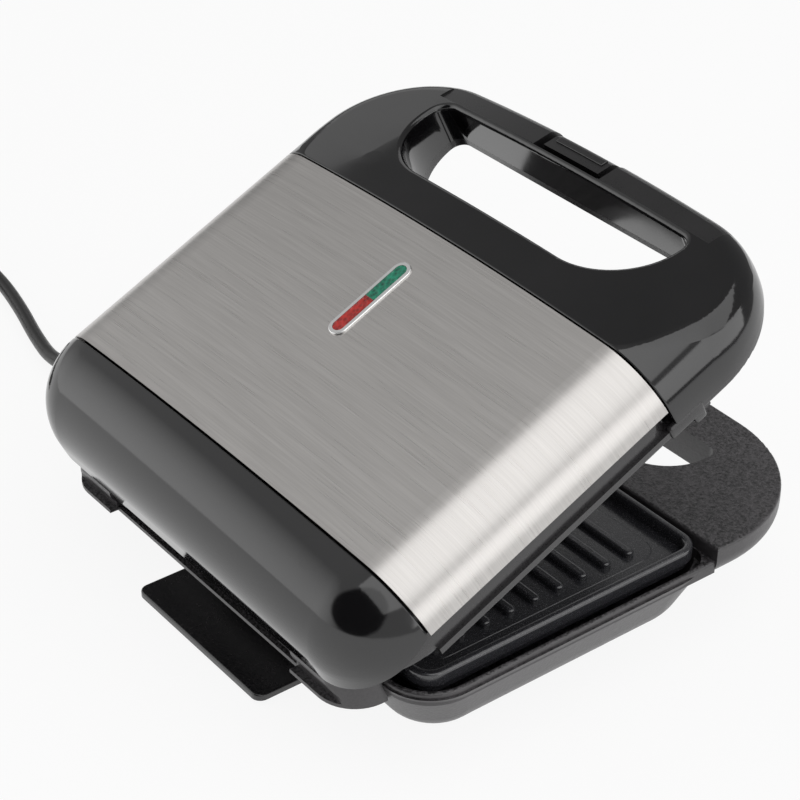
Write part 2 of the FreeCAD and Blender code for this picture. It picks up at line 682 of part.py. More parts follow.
def thermal_fuse():
    """A sleeved cut-out lying on the reflector, its lead on the thermostat's tag."""
    z = POST_TOP_Z + REFLECTOR_T + FUSE_R
    sleeve = rod_x(FUSE_X - FUSE_HALF, FUSE_X + FUSE_HALF, HEATER_MIDDLE_Y, z, FUSE_R)
    tag_end = THERMOSTAT_X - THERMOSTAT_R - TAG_LENGTH
    lead = rod_x(FUSE_X - FUSE_HALF - FUSE_LEAD, tag_end, HEATER_MIDDLE_Y, z, FUSE_LEAD_R)
    return fused([sleeve, lead])


def terminal_block():
    """A screw terminal strip standing on the tub's floor beside the cord's way in."""
    y = CORD_EXIT_Y - TERMINAL_TO_CORD
    top = TUB_FLOOR_Z + TERMINAL_H
    end = TERMINAL_X + TERMINAL_HALF
    body = box(TERMINAL_X - TERMINAL_HALF, end, y - TERMINAL_DEPTH, y, TUB_FLOOR_Z, top)
    hole_z = top - TERMINAL_SCREW_DEPTH
    for side in (-1, 1):
        x = TERMINAL_X + side * TERMINAL_HALF / 2
        body = body.cut(rod_z(x, y - TERMINAL_DEPTH / 2, hole_z, top + OVERRUN, TERMINAL_SCREW_R))
    return body


def wrap_plate():
    """The flat plate that the cord is wound round, on a neck screwed under the tub."""
    plate = rounded_block(WRAP_HALF, WRAP_FRONT_Y, WRAP_BACK_Y, WRAP_Z, WRAP_Z + WRAP_T, WRAP_CORNER_R)
    plate = plate.makeFillet(WRAP_EDGE_R, highest_face(plate).Edges)
    neck = rounded_block(WRAP_NECK_HALF, WRAP_FRONT_Y, WRAP_NECK_BACK_Y, WRAP_Z, TUB_BOTTOM_Z, WRAP_CORNER_R)
    body = plate.fuse(neck)
    for x, y in wrap_screw_places():
        body = body.cut(rod_z(x, y, 0, WRAP_Z + SCREW_HEAD, SCREW_HEAD_R + SCREW_GAP))
        body = body.cut(rod_z(x, y, 0, TUB_BOTTOM_Z + OVERRUN, SCREW_R + SCREW_GAP))
    for side in (-1, 1):
        body = body.cut(rod_z(side * REAR_FOOT_X, REAR_FOOT_Y, 0, WRAP_Z + STUD_PEG_DEPTH, STUD_PEG_R))
    return body.removeSplitter()


def wrap_screws():
    screws = []
    for x, y in wrap_screw_places():
        head = rod_z(x, y, WRAP_Z, WRAP_Z + SCREW_HEAD, SCREW_HEAD_R)
        shank = rod_z(x, y, WRAP_Z, TUB_FLOOR_Z + SCREW_GRIP - WRAP_HOLE_ROOF - SCREW_TIP_GAP, SCREW_R)
        screws.append(fused([head, shank]))
    return Part.makeCompound(screws)


def front_feet():
    """Rubber feet, wider at the top, stuck under the tub."""
    foot = Part.makeCone(FOOT_R, FOOT_TOP_R, TUB_BOTTOM_Z, Vector(FOOT_X, FOOT_Y, 0), Vector(0, 0, 1))
    foot = foot.makeFillet(FOOT_EDGE_R, lowest_face(foot).Edges)
    foot = foot.cut(tub(0, TUB_BOTTOM_Z, TUB_TOP_Z))
    return both_sides(foot)


def rear_feet():
    """Small rubber studs pushed into the cord plate."""
    stud = rod_z(REAR_FOOT_X, REAR_FOOT_Y, 0, WRAP_Z, REAR_FOOT_R)
    peg = rod_z(REAR_FOOT_X, REAR_FOOT_Y, 0, WRAP_Z + STUD_PEG_DEPTH, STUD_PEG_R)
    return both_sides(fused([stud, peg]))


def hinge_pins():
    pin = rod_x(PIN_INNER_X, PIN_OUTER_X, HINGE_Y, HINGE_Z, PIN_R)
    pin = pin.cut(rod_x(PIN_INNER_X - OVERRUN, PIN_OUTER_X + OVERRUN, HINGE_Y, HINGE_Z, PIN_BORE_R))
    return both_sides(pin)


# Lid, drawn closed


def lid_form(inset):
    """The pillow-shaped outside of the whole lid, or the same form drawn in by an inset."""
    block = lid_plan(inset, LID_RIM_Z, LID_TOP_Z + LID_EDGE_R)
    block = block.common(crown_face(inset, 2 * FRONT_Y).extrude(Vector(0, FAR + FAR, 0)))
    return block.makeFillet(LID_EDGE_R - inset, highest_face(block).Edges)


def crown_face(inset, y):
    """The crowned cross-section of the lid on an upright plane."""
    crown_r = LID_CROWN_R - inset
    top_z = LID_TOP_Z - inset
    reach = HALF_WIDTH + LID_EDGE_R
    side_z = top_z - (crown_r - math.sqrt(crown_r ** 2 - reach ** 2))
    edges = [
        arc_through((-reach, y, side_z), (0, y, top_z), (reach, y, side_z)),
        Part.makeLine(Vector(reach, y, side_z), Vector(reach, y, LID_RIM_Z)),
        Part.makeLine(Vector(reach, y, LID_RIM_Z), Vector(-reach, y, LID_RIM_Z)),
        Part.makeLine(Vector(-reach, y, LID_RIM_Z), Vector(-reach, y, side_z)),
    ]
    return Part.Face(Part.Wire(edges))


def under_deck(inset):
    """Everything under the crowned deck that falls away from the steel to the bar."""
    fall = math.tan(math.radians(DECK_SLOPE))
    return crown_face(inset, STEEL_FRONT_Y).extrude(Vector(0, -FAR, -FAR * fall))


def front_form(inset):
    """The outside of the front moulding: the lid form under its sloping deck, with a soft crease."""
    form = lid_form(inset).common(under_deck(inset))
    upper = [face for face in form.Faces if face.CenterOfMass.z > LID_SPLIT_Z + LID_EDGE_R / 2]
    deck = max(upper, key=lambda face: face.Area)
    crease = [e for e in deck.Edges if e.CenterOfMass.y < STEEL_FRONT_Y - EDGE_TOL]
    return form.makeFillet(DECK_EDGE_R - inset, crease)


def between_y(y0, y1, z0=0.0, z1=FAR):
    return box(-FAR, FAR, y0, y1, z0, z1)


def pill(length, width, y_middle, z0, z1):
    """An upright prism with round ends, long in Y."""
    half = length / 2
    return rounded_block(width / 2, y_middle - half, y_middle + half, z0, z1, width / 2 - PILL_END_FLAT)


def lamp_pill(inset, z0, z1):
    return pill(LAMP_LENGTH - 2 * inset, LAMP_WIDTH - 2 * inset, LAMP_Y, z0, z1)


def steel_cover():
    skin = lid_form(0).cut(lid_form(STEEL_T)).common(between_y(STEEL_FRONT_Y, STEEL_BACK_Y, STEEL_EDGE_Z))
    return skin.cut(lamp_pill(BEZEL_LAP, STEEL_EDGE_Z, FAR))


def hand_hole(inset, z0, z1):
    return d_block(HOLE_HALF + inset, HOLE_FRONT_Y - inset, HOLE_BACK_Y + inset, HOLE_BACK_R + inset,
                   HOLE_FRONT_R + inset, z0, z1)


def latch_notch():
    """The gap in the bar that the latch swings in, open to the front and the top."""
    half = NOTCH_HALF
    back = LATCH_PIVOT_Y + LATCH_BARREL_R + LATCH_SWING_GAP
    floor = LATCH_PIVOT_Z - LATCH_BARREL_R - LATCH_NOTCH_GAP
    pocket = box(-half, half, 2 * FRONT_Y, back, floor, FAR)
    leg_back = LATCH_LEG_Y + LATCH_LEG + LATCH_LEG_SWING
    return pocket.fuse(box(-half, half, 2 * FRONT_Y, leg_back, 0, FAR))


def bar_panels(sink):
    """The thin layer taken off the bar's top to leave a flat panel, or one sunk below it."""
    over = box(-PANEL_HALF, PANEL_HALF, 2 * FRONT_Y, PANEL_INNER_Y, LID_SPLIT_Z, FAR)
    return over.cut(under_deck(PANEL_DEPTH + sink))


def front_moulding():
    outer = front_form(0)
    zone = between_y(2 * FRONT_Y, STEEL_FRONT_Y - SEAM, LID_SPLIT_Z)
    whole = outer.common(zone)
    seam_edges = [e for e in whole.Edges if e.CenterOfMass.y > STEEL_FRONT_Y - SEAM - EDGE_TOL
                  and e.CenterOfMass.z > LID_SPLIT_Z + EDGE_TOL]
    whole = whole.makeFillet(SEAM_EDGE_R, seam_edges)
    hollow = front_form(MOULDING_WALL)
    hollow = hollow.cut(hand_hole(MOULDING_WALL, 0, FAR))
    half = NOTCH_HALF + MOULDING_WALL
    bar = box(-half, half, 2 * FRONT_Y, HOLE_FRONT_Y, 0, FAR)
    whole = whole.cut(hollow.cut(bar)).cut(hand_hole(0, 0, FAR))
    lip = [e for e in whole.Edges if on_hole_lip(e)]
    whole = whole.makeFillet(HOLE_EDGE_R, lip)
    whole = whole.cut(bar_panels(0)).cut(latch_notch())
    whole = whole.cut(latch_pin(PIN_SEAT_GAP))
    for x, y in handle_screw_places():
        whole = whole.fuse(rod_z(x, y, LID_SPLIT_Z, LID_TOP_Z - MOULDING_WALL, HANDLE_POST_R).common(outer))
    for x, y in handle_screw_places():
        whole = whole.cut(rod_z(x, y, 0, LID_SPLIT_Z + SCREW_GRIP + SCREW_TIP_GAP, SCREW_R))
    return whole.removeSplitter()


def on_hole_lip(edge):
    """True for the hand hole's upper edge, where its wall meets the top of the lid."""
    at = edge.CenterOfMass
    run = edge.Vertexes[-1].Point - edge.Vertexes[0].Point
    inside = abs(at.x) < HOLE_HALF + SEARCH and HOLE_FRONT_Y - SEARCH < at.y < HOLE_BACK_Y + SEARCH
    level = abs(run.z) < LID_EDGE_R
    upright = abs(run.x) + abs(run.y) < EDGE_TOL
    return inside and level and not upright and at.z > LID_SPLIT_Z + HOLE_LIP_RISE


def latch_pin(gap=0.0):
    half = NOTCH_HALF + MOULDING_WALL - LATCH_NOTCH_GAP
    return rod_x(-half, half, LATCH_PIVOT_Y, LATCH_PIVOT_Z, LATCH_PIN_R + gap)


def handle_screw_places():
    y = TRAY_FRONT_Y - HANDLE_POST_R - LID_SKIN_GAP
    return [(-HANDLE_SCREW_X, y), (HANDLE_SCREW_X, y)]


def handle_screws():
    screws = []
    for x, y in handle_screw_places():
        head = rod_z(x, y, LID_RIM_Z, LID_RIM_Z + SCREW_HEAD, SCREW_HEAD_R)
        shank = rod_z(x, y, LID_RIM_Z, LID_SPLIT_Z + SCREW_GRIP, SCREW_R)
        screws.append(fused([head, shank]))
    return Part.makeCompound(screws)


def cover_screw_places():
    y = STEEL_BACK_Y + (TRAY_BACK_Y - STEEL_BACK_Y) * COVER_SCREW_SHARE
    return [(-COVER_SCREW_X, y), (COVER_SCREW_X, y)]


def under_cover_edge():
    """Everything below the back cover's lower edge, which rises from the back to the steel."""
    low_y = LID_BACK_Y + COVER_CUT_REACH
    high_y = STEEL_BACK_Y - COVER_CUT_REACH
    points = [
        (low_y, COVER_EDGE_Z - COVER_CUT_REACH * COVER_RISE),
        (high_y, COVER_EDGE_Z + (LID_BACK_Y - high_y) * COVER_RISE),
        (high_y, 0),
        (low_y, 0),
    ]
    return yz_prism(points, -FAR, FAR)


def back_cover():
    outer = lid_form_low(0).common(between_y(STEEL_BACK_Y + SEAM, FAR))
    seam_edges = [e for e in outer.Edges if e.CenterOfMass.y < STEEL_BACK_Y + SEAM + EDGE_TOL
                  and e.CenterOfMass.z > LID_RIM_Z - COVER_SKIRT + SEARCH]
    outer = outer.makeFillet(SEAM_EDGE_R, seam_edges)
    shell = outer.cut(lid_form_low(COVER_WALL)).cut(under_cover_edge())
    for x, y in cover_screw_places():
        post = rod_z(x, y, TRAY_TOP_Z, LID_TOP_Z - COVER_WALL + OVERRUN, BOSS_R).common(outer)
        post = post.cut(rod_z(x, y, 0, TRAY_TOP_Z + SCREW_GRIP + SCREW_TIP_GAP, SCREW_R))
        shell = shell.fuse(post)
    return shell.removeSplitter()


def lid_form_low(inset):
    """The lid form carried down past its rim, as the back cover reaches below it."""
    skirt = lid_plan(inset, LID_RIM_Z - COVER_SKIRT, LID_RIM_Z + OVERRUN)
    return lid_form(inset).fuse(skirt).removeSplitter()


def cover_screws():
    screws = []
    seat = TRAY_TOP_Z - TRAY_WALL
    for x, y in cover_screw_places():
        head = rod_z(x, y, seat - SCREW_HEAD, seat, SCREW_HEAD_R)
        shank = rod_z(x, y, seat - SCREW_HEAD, TRAY_TOP_Z + SCREW_GRIP, SCREW_R)
        screws.append(fused([head, shank]))
    return Part.makeCompound(screws)


def flipped(shape):
    """Turn a base piece over into the lid, about the plane between the closed plates."""
    middle_z = PLATE_TOP_Z + PLATE_GAP / 2
    return shape.mirror(Vector(0, 0, middle_z), Vector(0, 0, 1))


def flipped_z(z):
    return 2 * PLATE_TOP_Z + PLATE_GAP - z


LID_PLATE_BACK_Z = flipped_z(PLATE_BOTTOM_Z)
LID_POST_Z = flipped_z(POST_TOP_Z)


def ear():
    """A hinge arm from the lid's tray down to the hinge pin."""
    root_y = TRAY_BACK_Y - TRAY_WALL
    points = [
        (root_y, LID_SPLIT_Z),
        (HINGE_Y - EAR_R * EAR_FRONT_SHARE, HINGE_Z + EAR_FRONT_RISE),
        (HINGE_Y + EAR_R * EAR_BACK_SHARE, HINGE_Z + EAR_R * EAR_BACK_SHARE),
        (TRAY_BACK_Y, TRAY_TOP_Z - TRAY_WALL),
        (root_y, TRAY_TOP_Z - TRAY_WALL),
    ]
    arm = yz_prism(points, EAR_X, EAR_END_X)
    barrel = rod_x(EAR_X, EAR_END_X, HINGE_Y, HINGE_Z, EAR_R)
    return fused([arm, barrel])


def lid_frame():
    """The black under-housing: flange, side strips, tray round the plate and hinge ears."""
    flange = lid_outline(FLANGE_INSET, STEEL_BACK_Y, LID_RIM_Z, LID_SPLIT_Z)
    ahead = [e for e in lowest_face(flange).Edges if e.CenterOfMass.y < STEEL_BACK_Y - SEARCH]
    flange = flange.makeFillet(LEDGE_EDGE_R, ahead)
    strip = rounded_block(HALF_WIDTH - STRIP_INSET, STEEL_FRONT_Y - SEAM, TRAY_BACK_Y, LID_SPLIT_Z,
                          STEEL_EDGE_Z - LID_SKIN_GAP, PLATE_CORNER_R)
    behind = between_y(STEEL_FRONT_Y - SEAM + LID_SKIN_GAP, FAR)
    strip = strip.common(behind)
    strip = strip.common(lid_form(STRIP_INSET))
    tray = rounded_block(TRAY_HALF, TRAY_FRONT_Y, TRAY_BACK_Y, LID_RIM_Z, TRAY_TOP_Z,
                         PLATE_CORNER_R + TRAY_WALL)
    tray = tray.common(lid_form(max(COVER_WALL, MOULDING_WALL) + LID_SKIN_GAP))
    frame = fused([flange, strip, tray, ear(), mirrored_x(ear())])

    gap = PLATE_CLEARANCE
    well_top = LID_PLATE_BACK_Z + gap
    well = rounded_block(PLATE_HALF + gap, PLATE_FRONT_Y - gap, PLATE_BACK_Y + gap, LID_RIM_Z - OVERRUN,
                         well_top, PLATE_CORNER_R + gap)
    inside = rounded_block(TRAY_HALF - TRAY_WALL, TRAY_FRONT_Y + TRAY_WALL, TRAY_BACK_Y - TRAY_WALL,
                           well_top - OVERRUN, LID_POST_Z, PLATE_CORNER_R)
    frame = frame.cut(well).cut(inside)
    frame = frame.cut(hand_hole(0, 0, FAR))
    for x, y in boss_places():
        frame = frame.cut(rod_z(x, y, LID_RIM_Z, FAR, SCREW_R + SCREW_GAP))
    for x, y in cover_screw_places():
        frame = frame.cut(rod_z(x, y, LID_POST_Z - OVERRUN, FAR, SCREW_R + SCREW_GAP))
    for x, y in handle_screw_places():
        frame = frame.cut(rod_z(x, y, 0, LID_SPLIT_Z + OVERRUN, SCREW_R + SCREW_GAP))
        frame = frame.cut(rod_z(x, y, 0, LID_RIM_Z + SCREW_HEAD, SCREW_HEAD_R + SCREW_GAP))
    tab_x = HALF_WIDTH - FLANGE_INSET - TAB_INSET
    tab = box(tab_x - TAB_T, tab_x, TAB_Y - TAB_WIDTH / 2, TAB_Y + TAB_WIDTH / 2, LID_RIM_Z - TAB_DROP,
              LID_RIM_Z + ROOT_SINK)
    frame = frame.fuse(tab).fuse(mirrored_x(tab))
    frame = frame.cut(latch_notch())
    lead_at = Vector(LID_LEAD_X, TRAY_BACK_Y - 2 * TRAY_WALL, LID_LEAD_Z)
    frame = frame.cut(Part.makeCylinder(LID_LEAD_HOLE_R, 4 * TRAY_WALL, lead_at, Vector(0, 1, 0)))
    bore_half = EAR_END_X + OVERRUN
    frame = frame.cut(rod_x(-bore_half, bore_half, HINGE_Y, HINGE_Z, PIN_R + PIN_RUNNING_GAP))
    lamp_hole = pill(LAMP_HOLE_LENGTH, LAMP_WIDTH, LAMP_Y, LID_POST_Z - OVERRUN, TRAY_TOP_Z + OVERRUN)
    return frame.cut(lamp_hole).removeSplitter()


def lid_plate_screws():
    screws = []
    foot_z = flipped_z(BOSS_FOOT_Z)
    for x, y in boss_places():
        head = rod_z(x, y, TRAY_TOP_Z, TRAY_TOP_Z + SCREW_HEAD, SCREW_HEAD_R)
        shank = rod_z(x, y, foot_z - SCREW_GRIP, TRAY_TOP_Z + SCREW_HEAD, SCREW_R)
        screws.append(fused([head, shank]))
    return Part.makeCompound(screws)


# Lamps


def lamp_bezel():
    """A pill-shaped frame in the steel, with a thin rim over it and a skirt through it."""
    rim = lamp_pill(0, LID_TOP_Z, LID_TOP_Z + BEZEL_PROUD)
    rim = rim.makeFillet(BEZEL_ROUND, highest_face(rim).Edges)
    skirt = lamp_pill(BEZEL_LAP + BEZEL_SKIRT_GAP, LID_TOP_Z - BEZEL_DEPTH, LID_TOP_Z + BEZEL_ROUND)
    return fused([rim, skirt]).cut(lamp_pill(BEZEL_RIM, 0, FAR))


def lens(front_half):
    """Half of the pill-shaped window; the red half is towards the hinge."""
    top = LID_TOP_Z + LENS_PROUD
    whole = lamp_pill(BEZEL_RIM + LENS_GAP, top - LENS_T, top)
    zone = between_y(-FAR, LAMP_Y) if front_half else between_y(LAMP_Y, FAR)
    return whole.common(zone)


def lamp_y(front_half):
    return LAMP_Y + (-1 if front_half else 1) * LAMP_LENGTH / 4


def neon_lamp(front_half):
    """A small neon bulb standing in the holder under its lens."""
    y = lamp_y(front_half)
    tip_z = TRAY_TOP_Z + HOLDER_T + LAMP_BODY - LAMP_R
    bulb = rod_z(0, y, TRAY_TOP_Z, tip_z, LAMP_R)
    tip = Part.makeSphere(LAMP_R, Vector(0, y, tip_z))
    clear = LID_TOP_Z + LENS_PROUD - LENS_T - LAMP_LENS_GAP
    return fused([bulb, tip]).common(between_y(-FAR, FAR, 0, clear))


def lamp_holder():
    """A card on the tray that holds both lamps, with two posts up to the bezel."""
    z = TRAY_TOP_Z
    half = LAMP_LENGTH / 2 + HOLDER_MARGIN
    card = box(-LAMP_WIDTH, LAMP_WIDTH, LAMP_Y - half, LAMP_Y + half, z, z + HOLDER_T)
    for side in (-1, 1):
        y = LAMP_Y + side * (LAMP_LENGTH / 2 - HOLDER_POST_INSET)
        card = card.fuse(rod_z(0, y, z, LID_TOP_Z - BEZEL_DEPTH, HOLDER_POST_R))
    for front_half in (True, False):
        seat = rod_z(0, lamp_y(front_half), z - OVERRUN, z + HOLDER_T + OVERRUN, LAMP_R + LAMP_SEAT_GAP)
        card = card.cut(seat)
    return card.removeSplitter()


# Latch


def latch_clip():
    """A clip on its pin: thumb plate above the bar, leg down its front, hook at the foot."""
    half = LATCH_HALF
    barrel = rod_x(-half, half, LATCH_PIVOT_Y, LATCH_PIVOT_Z, LATCH_BARREL_R)
    leg_back = LATCH_LEG_Y + LATCH_LEG
    back_y = LATCH_PIVOT_Y + LATCH_BARREL_R
    head = yz_prism([
        (back_y, LID_TOP_Z),
        (back_y, LATCH_PIVOT_Z),
        (leg_back, LATCH_PIVOT_Z - LATCH_BARREL_R),
        (leg_back, LID_RIM_Z),
        (LATCH_LEG_Y, LID_RIM_Z),
        (LATCH_LEG_Y, LID_TOP_Z),
    ], -half, half)
    head = head.common(front_form(LATCH_SINK)).cut(bar_panels(LATCH_SINK))
    leg = box(-half, half, LATCH_LEG_Y, leg_back, LATCH_FOOT_Z, LID_RIM_Z + LATCH_TOP)
    hook = box(-half, half, LATCH_LEG_Y, leg_back + LATCH_HOOK, LATCH_FOOT_Z, LATCH_FOOT_Z + LATCH_TOP)
    clip = fused([barrel, head, leg, hook])
    return clip.cut(latch_pin(PIN_RUNNING_GAP)).removeSplitter()


# Cord, leads and plug


def tube(points, r):
    """A round tube through straight runs, joined by the largest arcs that they leave room for."""
    spots = [Vector(*point) for point in points]
    edges = []
    at = spots[0]
    radii = []
    for before, corner, after in zip(spots, spots[1:], spots[2:]):
        into = (corner - before).normalize()
        out = (after - corner).normalize()
        turn = into.getAngle(out)
        reach = ARC_SHARE * min((corner - before).Length, (after - corner).Length)
        radius = reach / math.tan(turn / 2)
        start, end = corner - into * reach, corner + out * reach
        to_centre = (out - into).normalize()
        middle = corner + to_centre * (radius / math.cos(turn / 2) - radius)
        edges.append(Part.makeLine(at, start))
        edges.append(Part.Arc(start, middle, end).toShape())
        at = end
        radii.append(radius)
    edges.append(Part.makeLine(at, spots[-1]))
    length = sum(edge.Length for edge in edges)
    ring = Part.makeCircle(r, spots[0], (spots[1] - spots[0]).normalize())
    solid = Part.Wire(edges).makePipeShell([Part.Wire(ring)], True, False)
    return solid, radii, length


def cord_gland():
    """The tapered sleeve that the cord leaves through."""
    neck = rod_x(GLAND_INNER_X, GLAND_NECK_X, CORD_EXIT_Y, CORD_EXIT_Z, GLAND_ROOT_R)
    root = Vector(GLAND_NECK_X, CORD_EXIT_Y, CORD_EXIT_Z)
    taper = Part.makeCone(GLAND_ROOT_R, GLAND_TIP_R, GLAND_LENGTH, root, Vector(1, 0, 0))
    bore = rod_x(0, 2 * HALF_WIDTH, CORD_EXIT_Y, CORD_EXIT_Z, CORD_R + GLAND_BORE_GAP)
    return fused([neck, taper]).cut(bore)


def clamp_screw_places():
    x = CLAMP_X + CLAMP_WIDTH / 2
    return [(x, CORD_EXIT_Y - CLAMP_SPREAD), (x, CORD_EXIT_Y + CLAMP_SPREAD)]


def cord_clamp():
    """A bar screwed down over the cord inside the tub."""
    z = CORD_EXIT_Z + CORD_R
    end = CLAMP_SPREAD + CLAMP_HEAD_R
    bar = box(CLAMP_X, CLAMP_X + CLAMP_WIDTH, CORD_EXIT_Y - end, CORD_EXIT_Y + end, z, z + CLAMP_T)
    for x, y in clamp_screw_places():
        bar = bar.cut(rod_z(x, y, z - OVERRUN, z + CLAMP_T + OVERRUN, CLAMP_SCREW_R + GLAND_BORE_GAP))
    return bar


def cord_clamp_screws():
    top = CORD_EXIT_Z + CORD_R + CLAMP_T
    screws = []
    for x, y in clamp_screw_places():
        head = rod_z(x, y, top, top + CLAMP_SCREW_R, CLAMP_HEAD_R)
        shank = rod_z(x, y, CORD_EXIT_Z - CORD_R + SCREW_TIP_GAP, top, CLAMP_SCREW_R)
        screws.append(fused([head, shank]))
    return Part.makeCompound(screws)


def bends(origin, offsets):
    return [tuple(start + step for start, step in zip(origin, offset)) for offset in offsets]


def cord_route():
    """The cord's corners from the gland to its coil."""
    start = (CORD_START_X, CORD_EXIT_Y, CORD_EXIT_Z)
    coil_y = COIL_Y - COIL_OUTER_R
    return [
        start,
        *bends(start, CORD_FALL),
        *bends((CORD_START_X, CORD_EXIT_Y, CORD_R), CORD_LIE),
        (CORD_START_X + CORD_TURN_IN, coil_y, COIL_LOW_Z),
        (COIL_X - 2 * CORD_R, coil_y, COIL_LOW_Z),
    ]


def mains_cord():
    """The cord from the clamp, through the gland, to the start of its coil."""
    free, radii, length = tube(cord_route(), CORD_R)
    section = math.pi * CORD_R ** 2
    print("cord radii", [round(radius, 1) for radius in radii])
    print("cord volume / section x length", round(free.Volume / (section * length), 4))
    inner = rod_x(CORD_INNER_X, CORD_START_X, CORD_EXIT_Y, CORD_EXIT_Z, CORD_R)
    return fused([free, inner])


def feed_leads(terminal_xs, back_y, z):
    """The cord's two cores, from its cut end to the terminals."""
    leads = []
    for (run, run_in), offset, x in zip(FEED_RUNS, (-CORE_OFFSET, CORE_OFFSET), terminal_xs):
        y = CORD_EXIT_Y + offset
        leads.append([(CORD_INNER_X, y, CORD_EXIT_Z), (CORD_INNER_X - run, y, CORD_EXIT_Z),
                      (x, back_y + run_in, z), (x, back_y, z)])
    return leads


def heater_lead(x, y, z):
    """From a terminal round the reflector's edge to the heater's near pin."""
    side_x = REFLECTOR_HALF + LEAD_SIDE_GAP
    end_x = HEATER_HALF + HEATER_PIN
    pin_y = HEATER_MIDDLE_Y + HEATER_SPREAD
    return [
        (x, y, z),
        (x, y - HEATER_LEAD_DROP, z),
        *bends((side_x, y, z), HEATER_LEAD_LOW),
        *bends((side_x, y, HEATER_Z), HEATER_LEAD_HIGH),
        (end_x + HEATER_LEAD_RUN, pin_y, HEATER_Z),
        (end_x, pin_y, HEATER_Z),
    ]


def tag_lead():
    """From the heater's far pin to the thermostat's tag."""
    pin = (HEATER_HALF + HEATER_PIN, HEATER_MIDDLE_Y - HEATER_SPREAD, HEATER_Z)
    tag_x = THERMOSTAT_X + THERMOSTAT_R + TAG_LENGTH
    tag_z = POST_TOP_Z + REFLECTOR_T + TAG_RISE + TAG_T / 2
    return [
        pin,
        *bends(pin, TAG_LEAD_BENDS),
        (tag_x + TAG_LEAD_RUN, HEATER_MIDDLE_Y, tag_z),
        (tag_x, HEATER_MIDDLE_Y, tag_z),
    ]


def hinge_lead(x, y, z):
    """From the terminals' end up the back wall, through the duct and into the hinge pin."""
    duct_x = PIN_OUTER_X + LEAD_DUCT_WIDTH / 2
    return [
        (x, y, z),
        *bends((x, y, z), HINGE_LEAD_LOW),
        *bends((duct_x, RIM_BACK_Y, HINGE_Z), HINGE_LEAD_HIGH),
        (duct_x, HINGE_Y, HINGE_Z),
        (PIN_INNER_X, HINGE_Y, HINGE_Z),
    ]


def base_leads():
    """Insulated leads: cord to terminals, terminals to heater, heater to thermostat, and to the hinge."""
    z = TUB_FLOOR_Z + TERMINAL_H / 2
    back = CORD_EXIT_Y - TERMINAL_TO_CORD
    front = back - TERMINAL_DEPTH
    terminal_xs = (TERMINAL_X + TERMINAL_HALF / 2, TERMINAL_X - TERMINAL_HALF / 2)
    routes = feed_leads(terminal_xs, back, z)
    routes.append(heater_lead(terminal_xs[0], front, z))
    routes.append(tag_lead())
    routes.append(hinge_lead(TERMINAL_X - TERMINAL_HALF, front + TERMINAL_DEPTH / 2, z))
    return Part.makeCompound([tube(route, LEAD_R)[0] for route in routes])


def lid_leads():
    """The lead that comes through the hinge pin and feeds the lid's heater."""
    pin = (HEATER_HALF + HEATER_PIN, HEATER_MIDDLE_Y + HEATER_SPREAD, flipped_z(HEATER_Z))
    route = [
        (PIN_INNER_X - LID_SKIN_GAP, HINGE_Y, HINGE_Z),
        *bends((LID_LEAD_X, HINGE_Y, HINGE_Z), LID_LEAD_HINGE),
        *bends((LID_LEAD_X, TRAY_BACK_Y, LID_LEAD_Z), LID_LEAD_HOLE),
        *bends(pin, LID_LEAD_PIN),
        pin,
    ]
    return tube(route, LEAD_R)[0]


def arc_along(start, heading, end):
    """The arc that leaves a point along a heading and reaches another point."""
    chord = end - start
    along = Vector(chord).normalize()
    heading = Vector(heading).normalize()
    angle = heading.getAngle(along)
    radius = chord.Length / (2 * math.sin(angle))
    bulge = (heading - along * heading.dot(along)).normalize()
    middle = start + chord * 0.5 + bulge * (radius - radius * math.cos(angle))
    return Part.Arc(start, middle, end).toShape()


COIL_LOW_Z = CORD_R + COIL_LIFT
COIL_HIGH_Z = COIL_LOW_Z + COIL_LAYER
COIL_INNER_R = COIL_OUTER_R - COIL_STEP
COIL_MID_R = COIL_OUTER_R - COIL_STEP / 2


def coil_place(side, radius, z):
    return Vector(COIL_X, COIL_Y + side * radius, z)


def half_turn(start, heading, end):
    """Half a turn of the coil, bulging the way the cord is heading."""
    reach = heading.x * abs(end.y - start.y) / 2
    return arc_through(start, (COIL_X + reach, (start.y + end.y) / 2, start.z), end)


def coil_path():
    """One turn in on the table, a half turn that climbs, and one turn out on top."""
    ahead, astern = Vector(1, 0, 0), Vector(-1, 0, 0)
    low = [coil_place(side, radius, COIL_LOW_Z)
           for side, radius in ((-1, COIL_OUTER_R), (1, COIL_MID_R), (-1, COIL_INNER_R))]
    high = [coil_place(side, radius, COIL_HIGH_Z)
            for side, radius in ((1, COIL_INNER_R), (-1, COIL_MID_R), (1, COIL_OUTER_R))]
    rise = COIL_LAYER / 2
    turn = Vector(COIL_X + math.sqrt(COIL_INNER_R ** 2 + rise ** 2), COIL_Y, COIL_LOW_Z + rise)
    climb_heading = Vector(0, COIL_INNER_R, rise)
    return [
        Part.makeLine(low[0] - ahead * 2 * CORD_R, low[0]),
        half_turn(low[0], ahead, low[1]),
        half_turn(low[1], astern, low[2]),
        arc_along(low[2], ahead, turn),
        arc_along(turn, climb_heading, high[0]),
        half_turn(high[0], astern, high[1]),
        half_turn(high[1], ahead, high[2]),
        Part.makeLine(high[2], high[2] + astern * 2 * CORD_R),
    ]


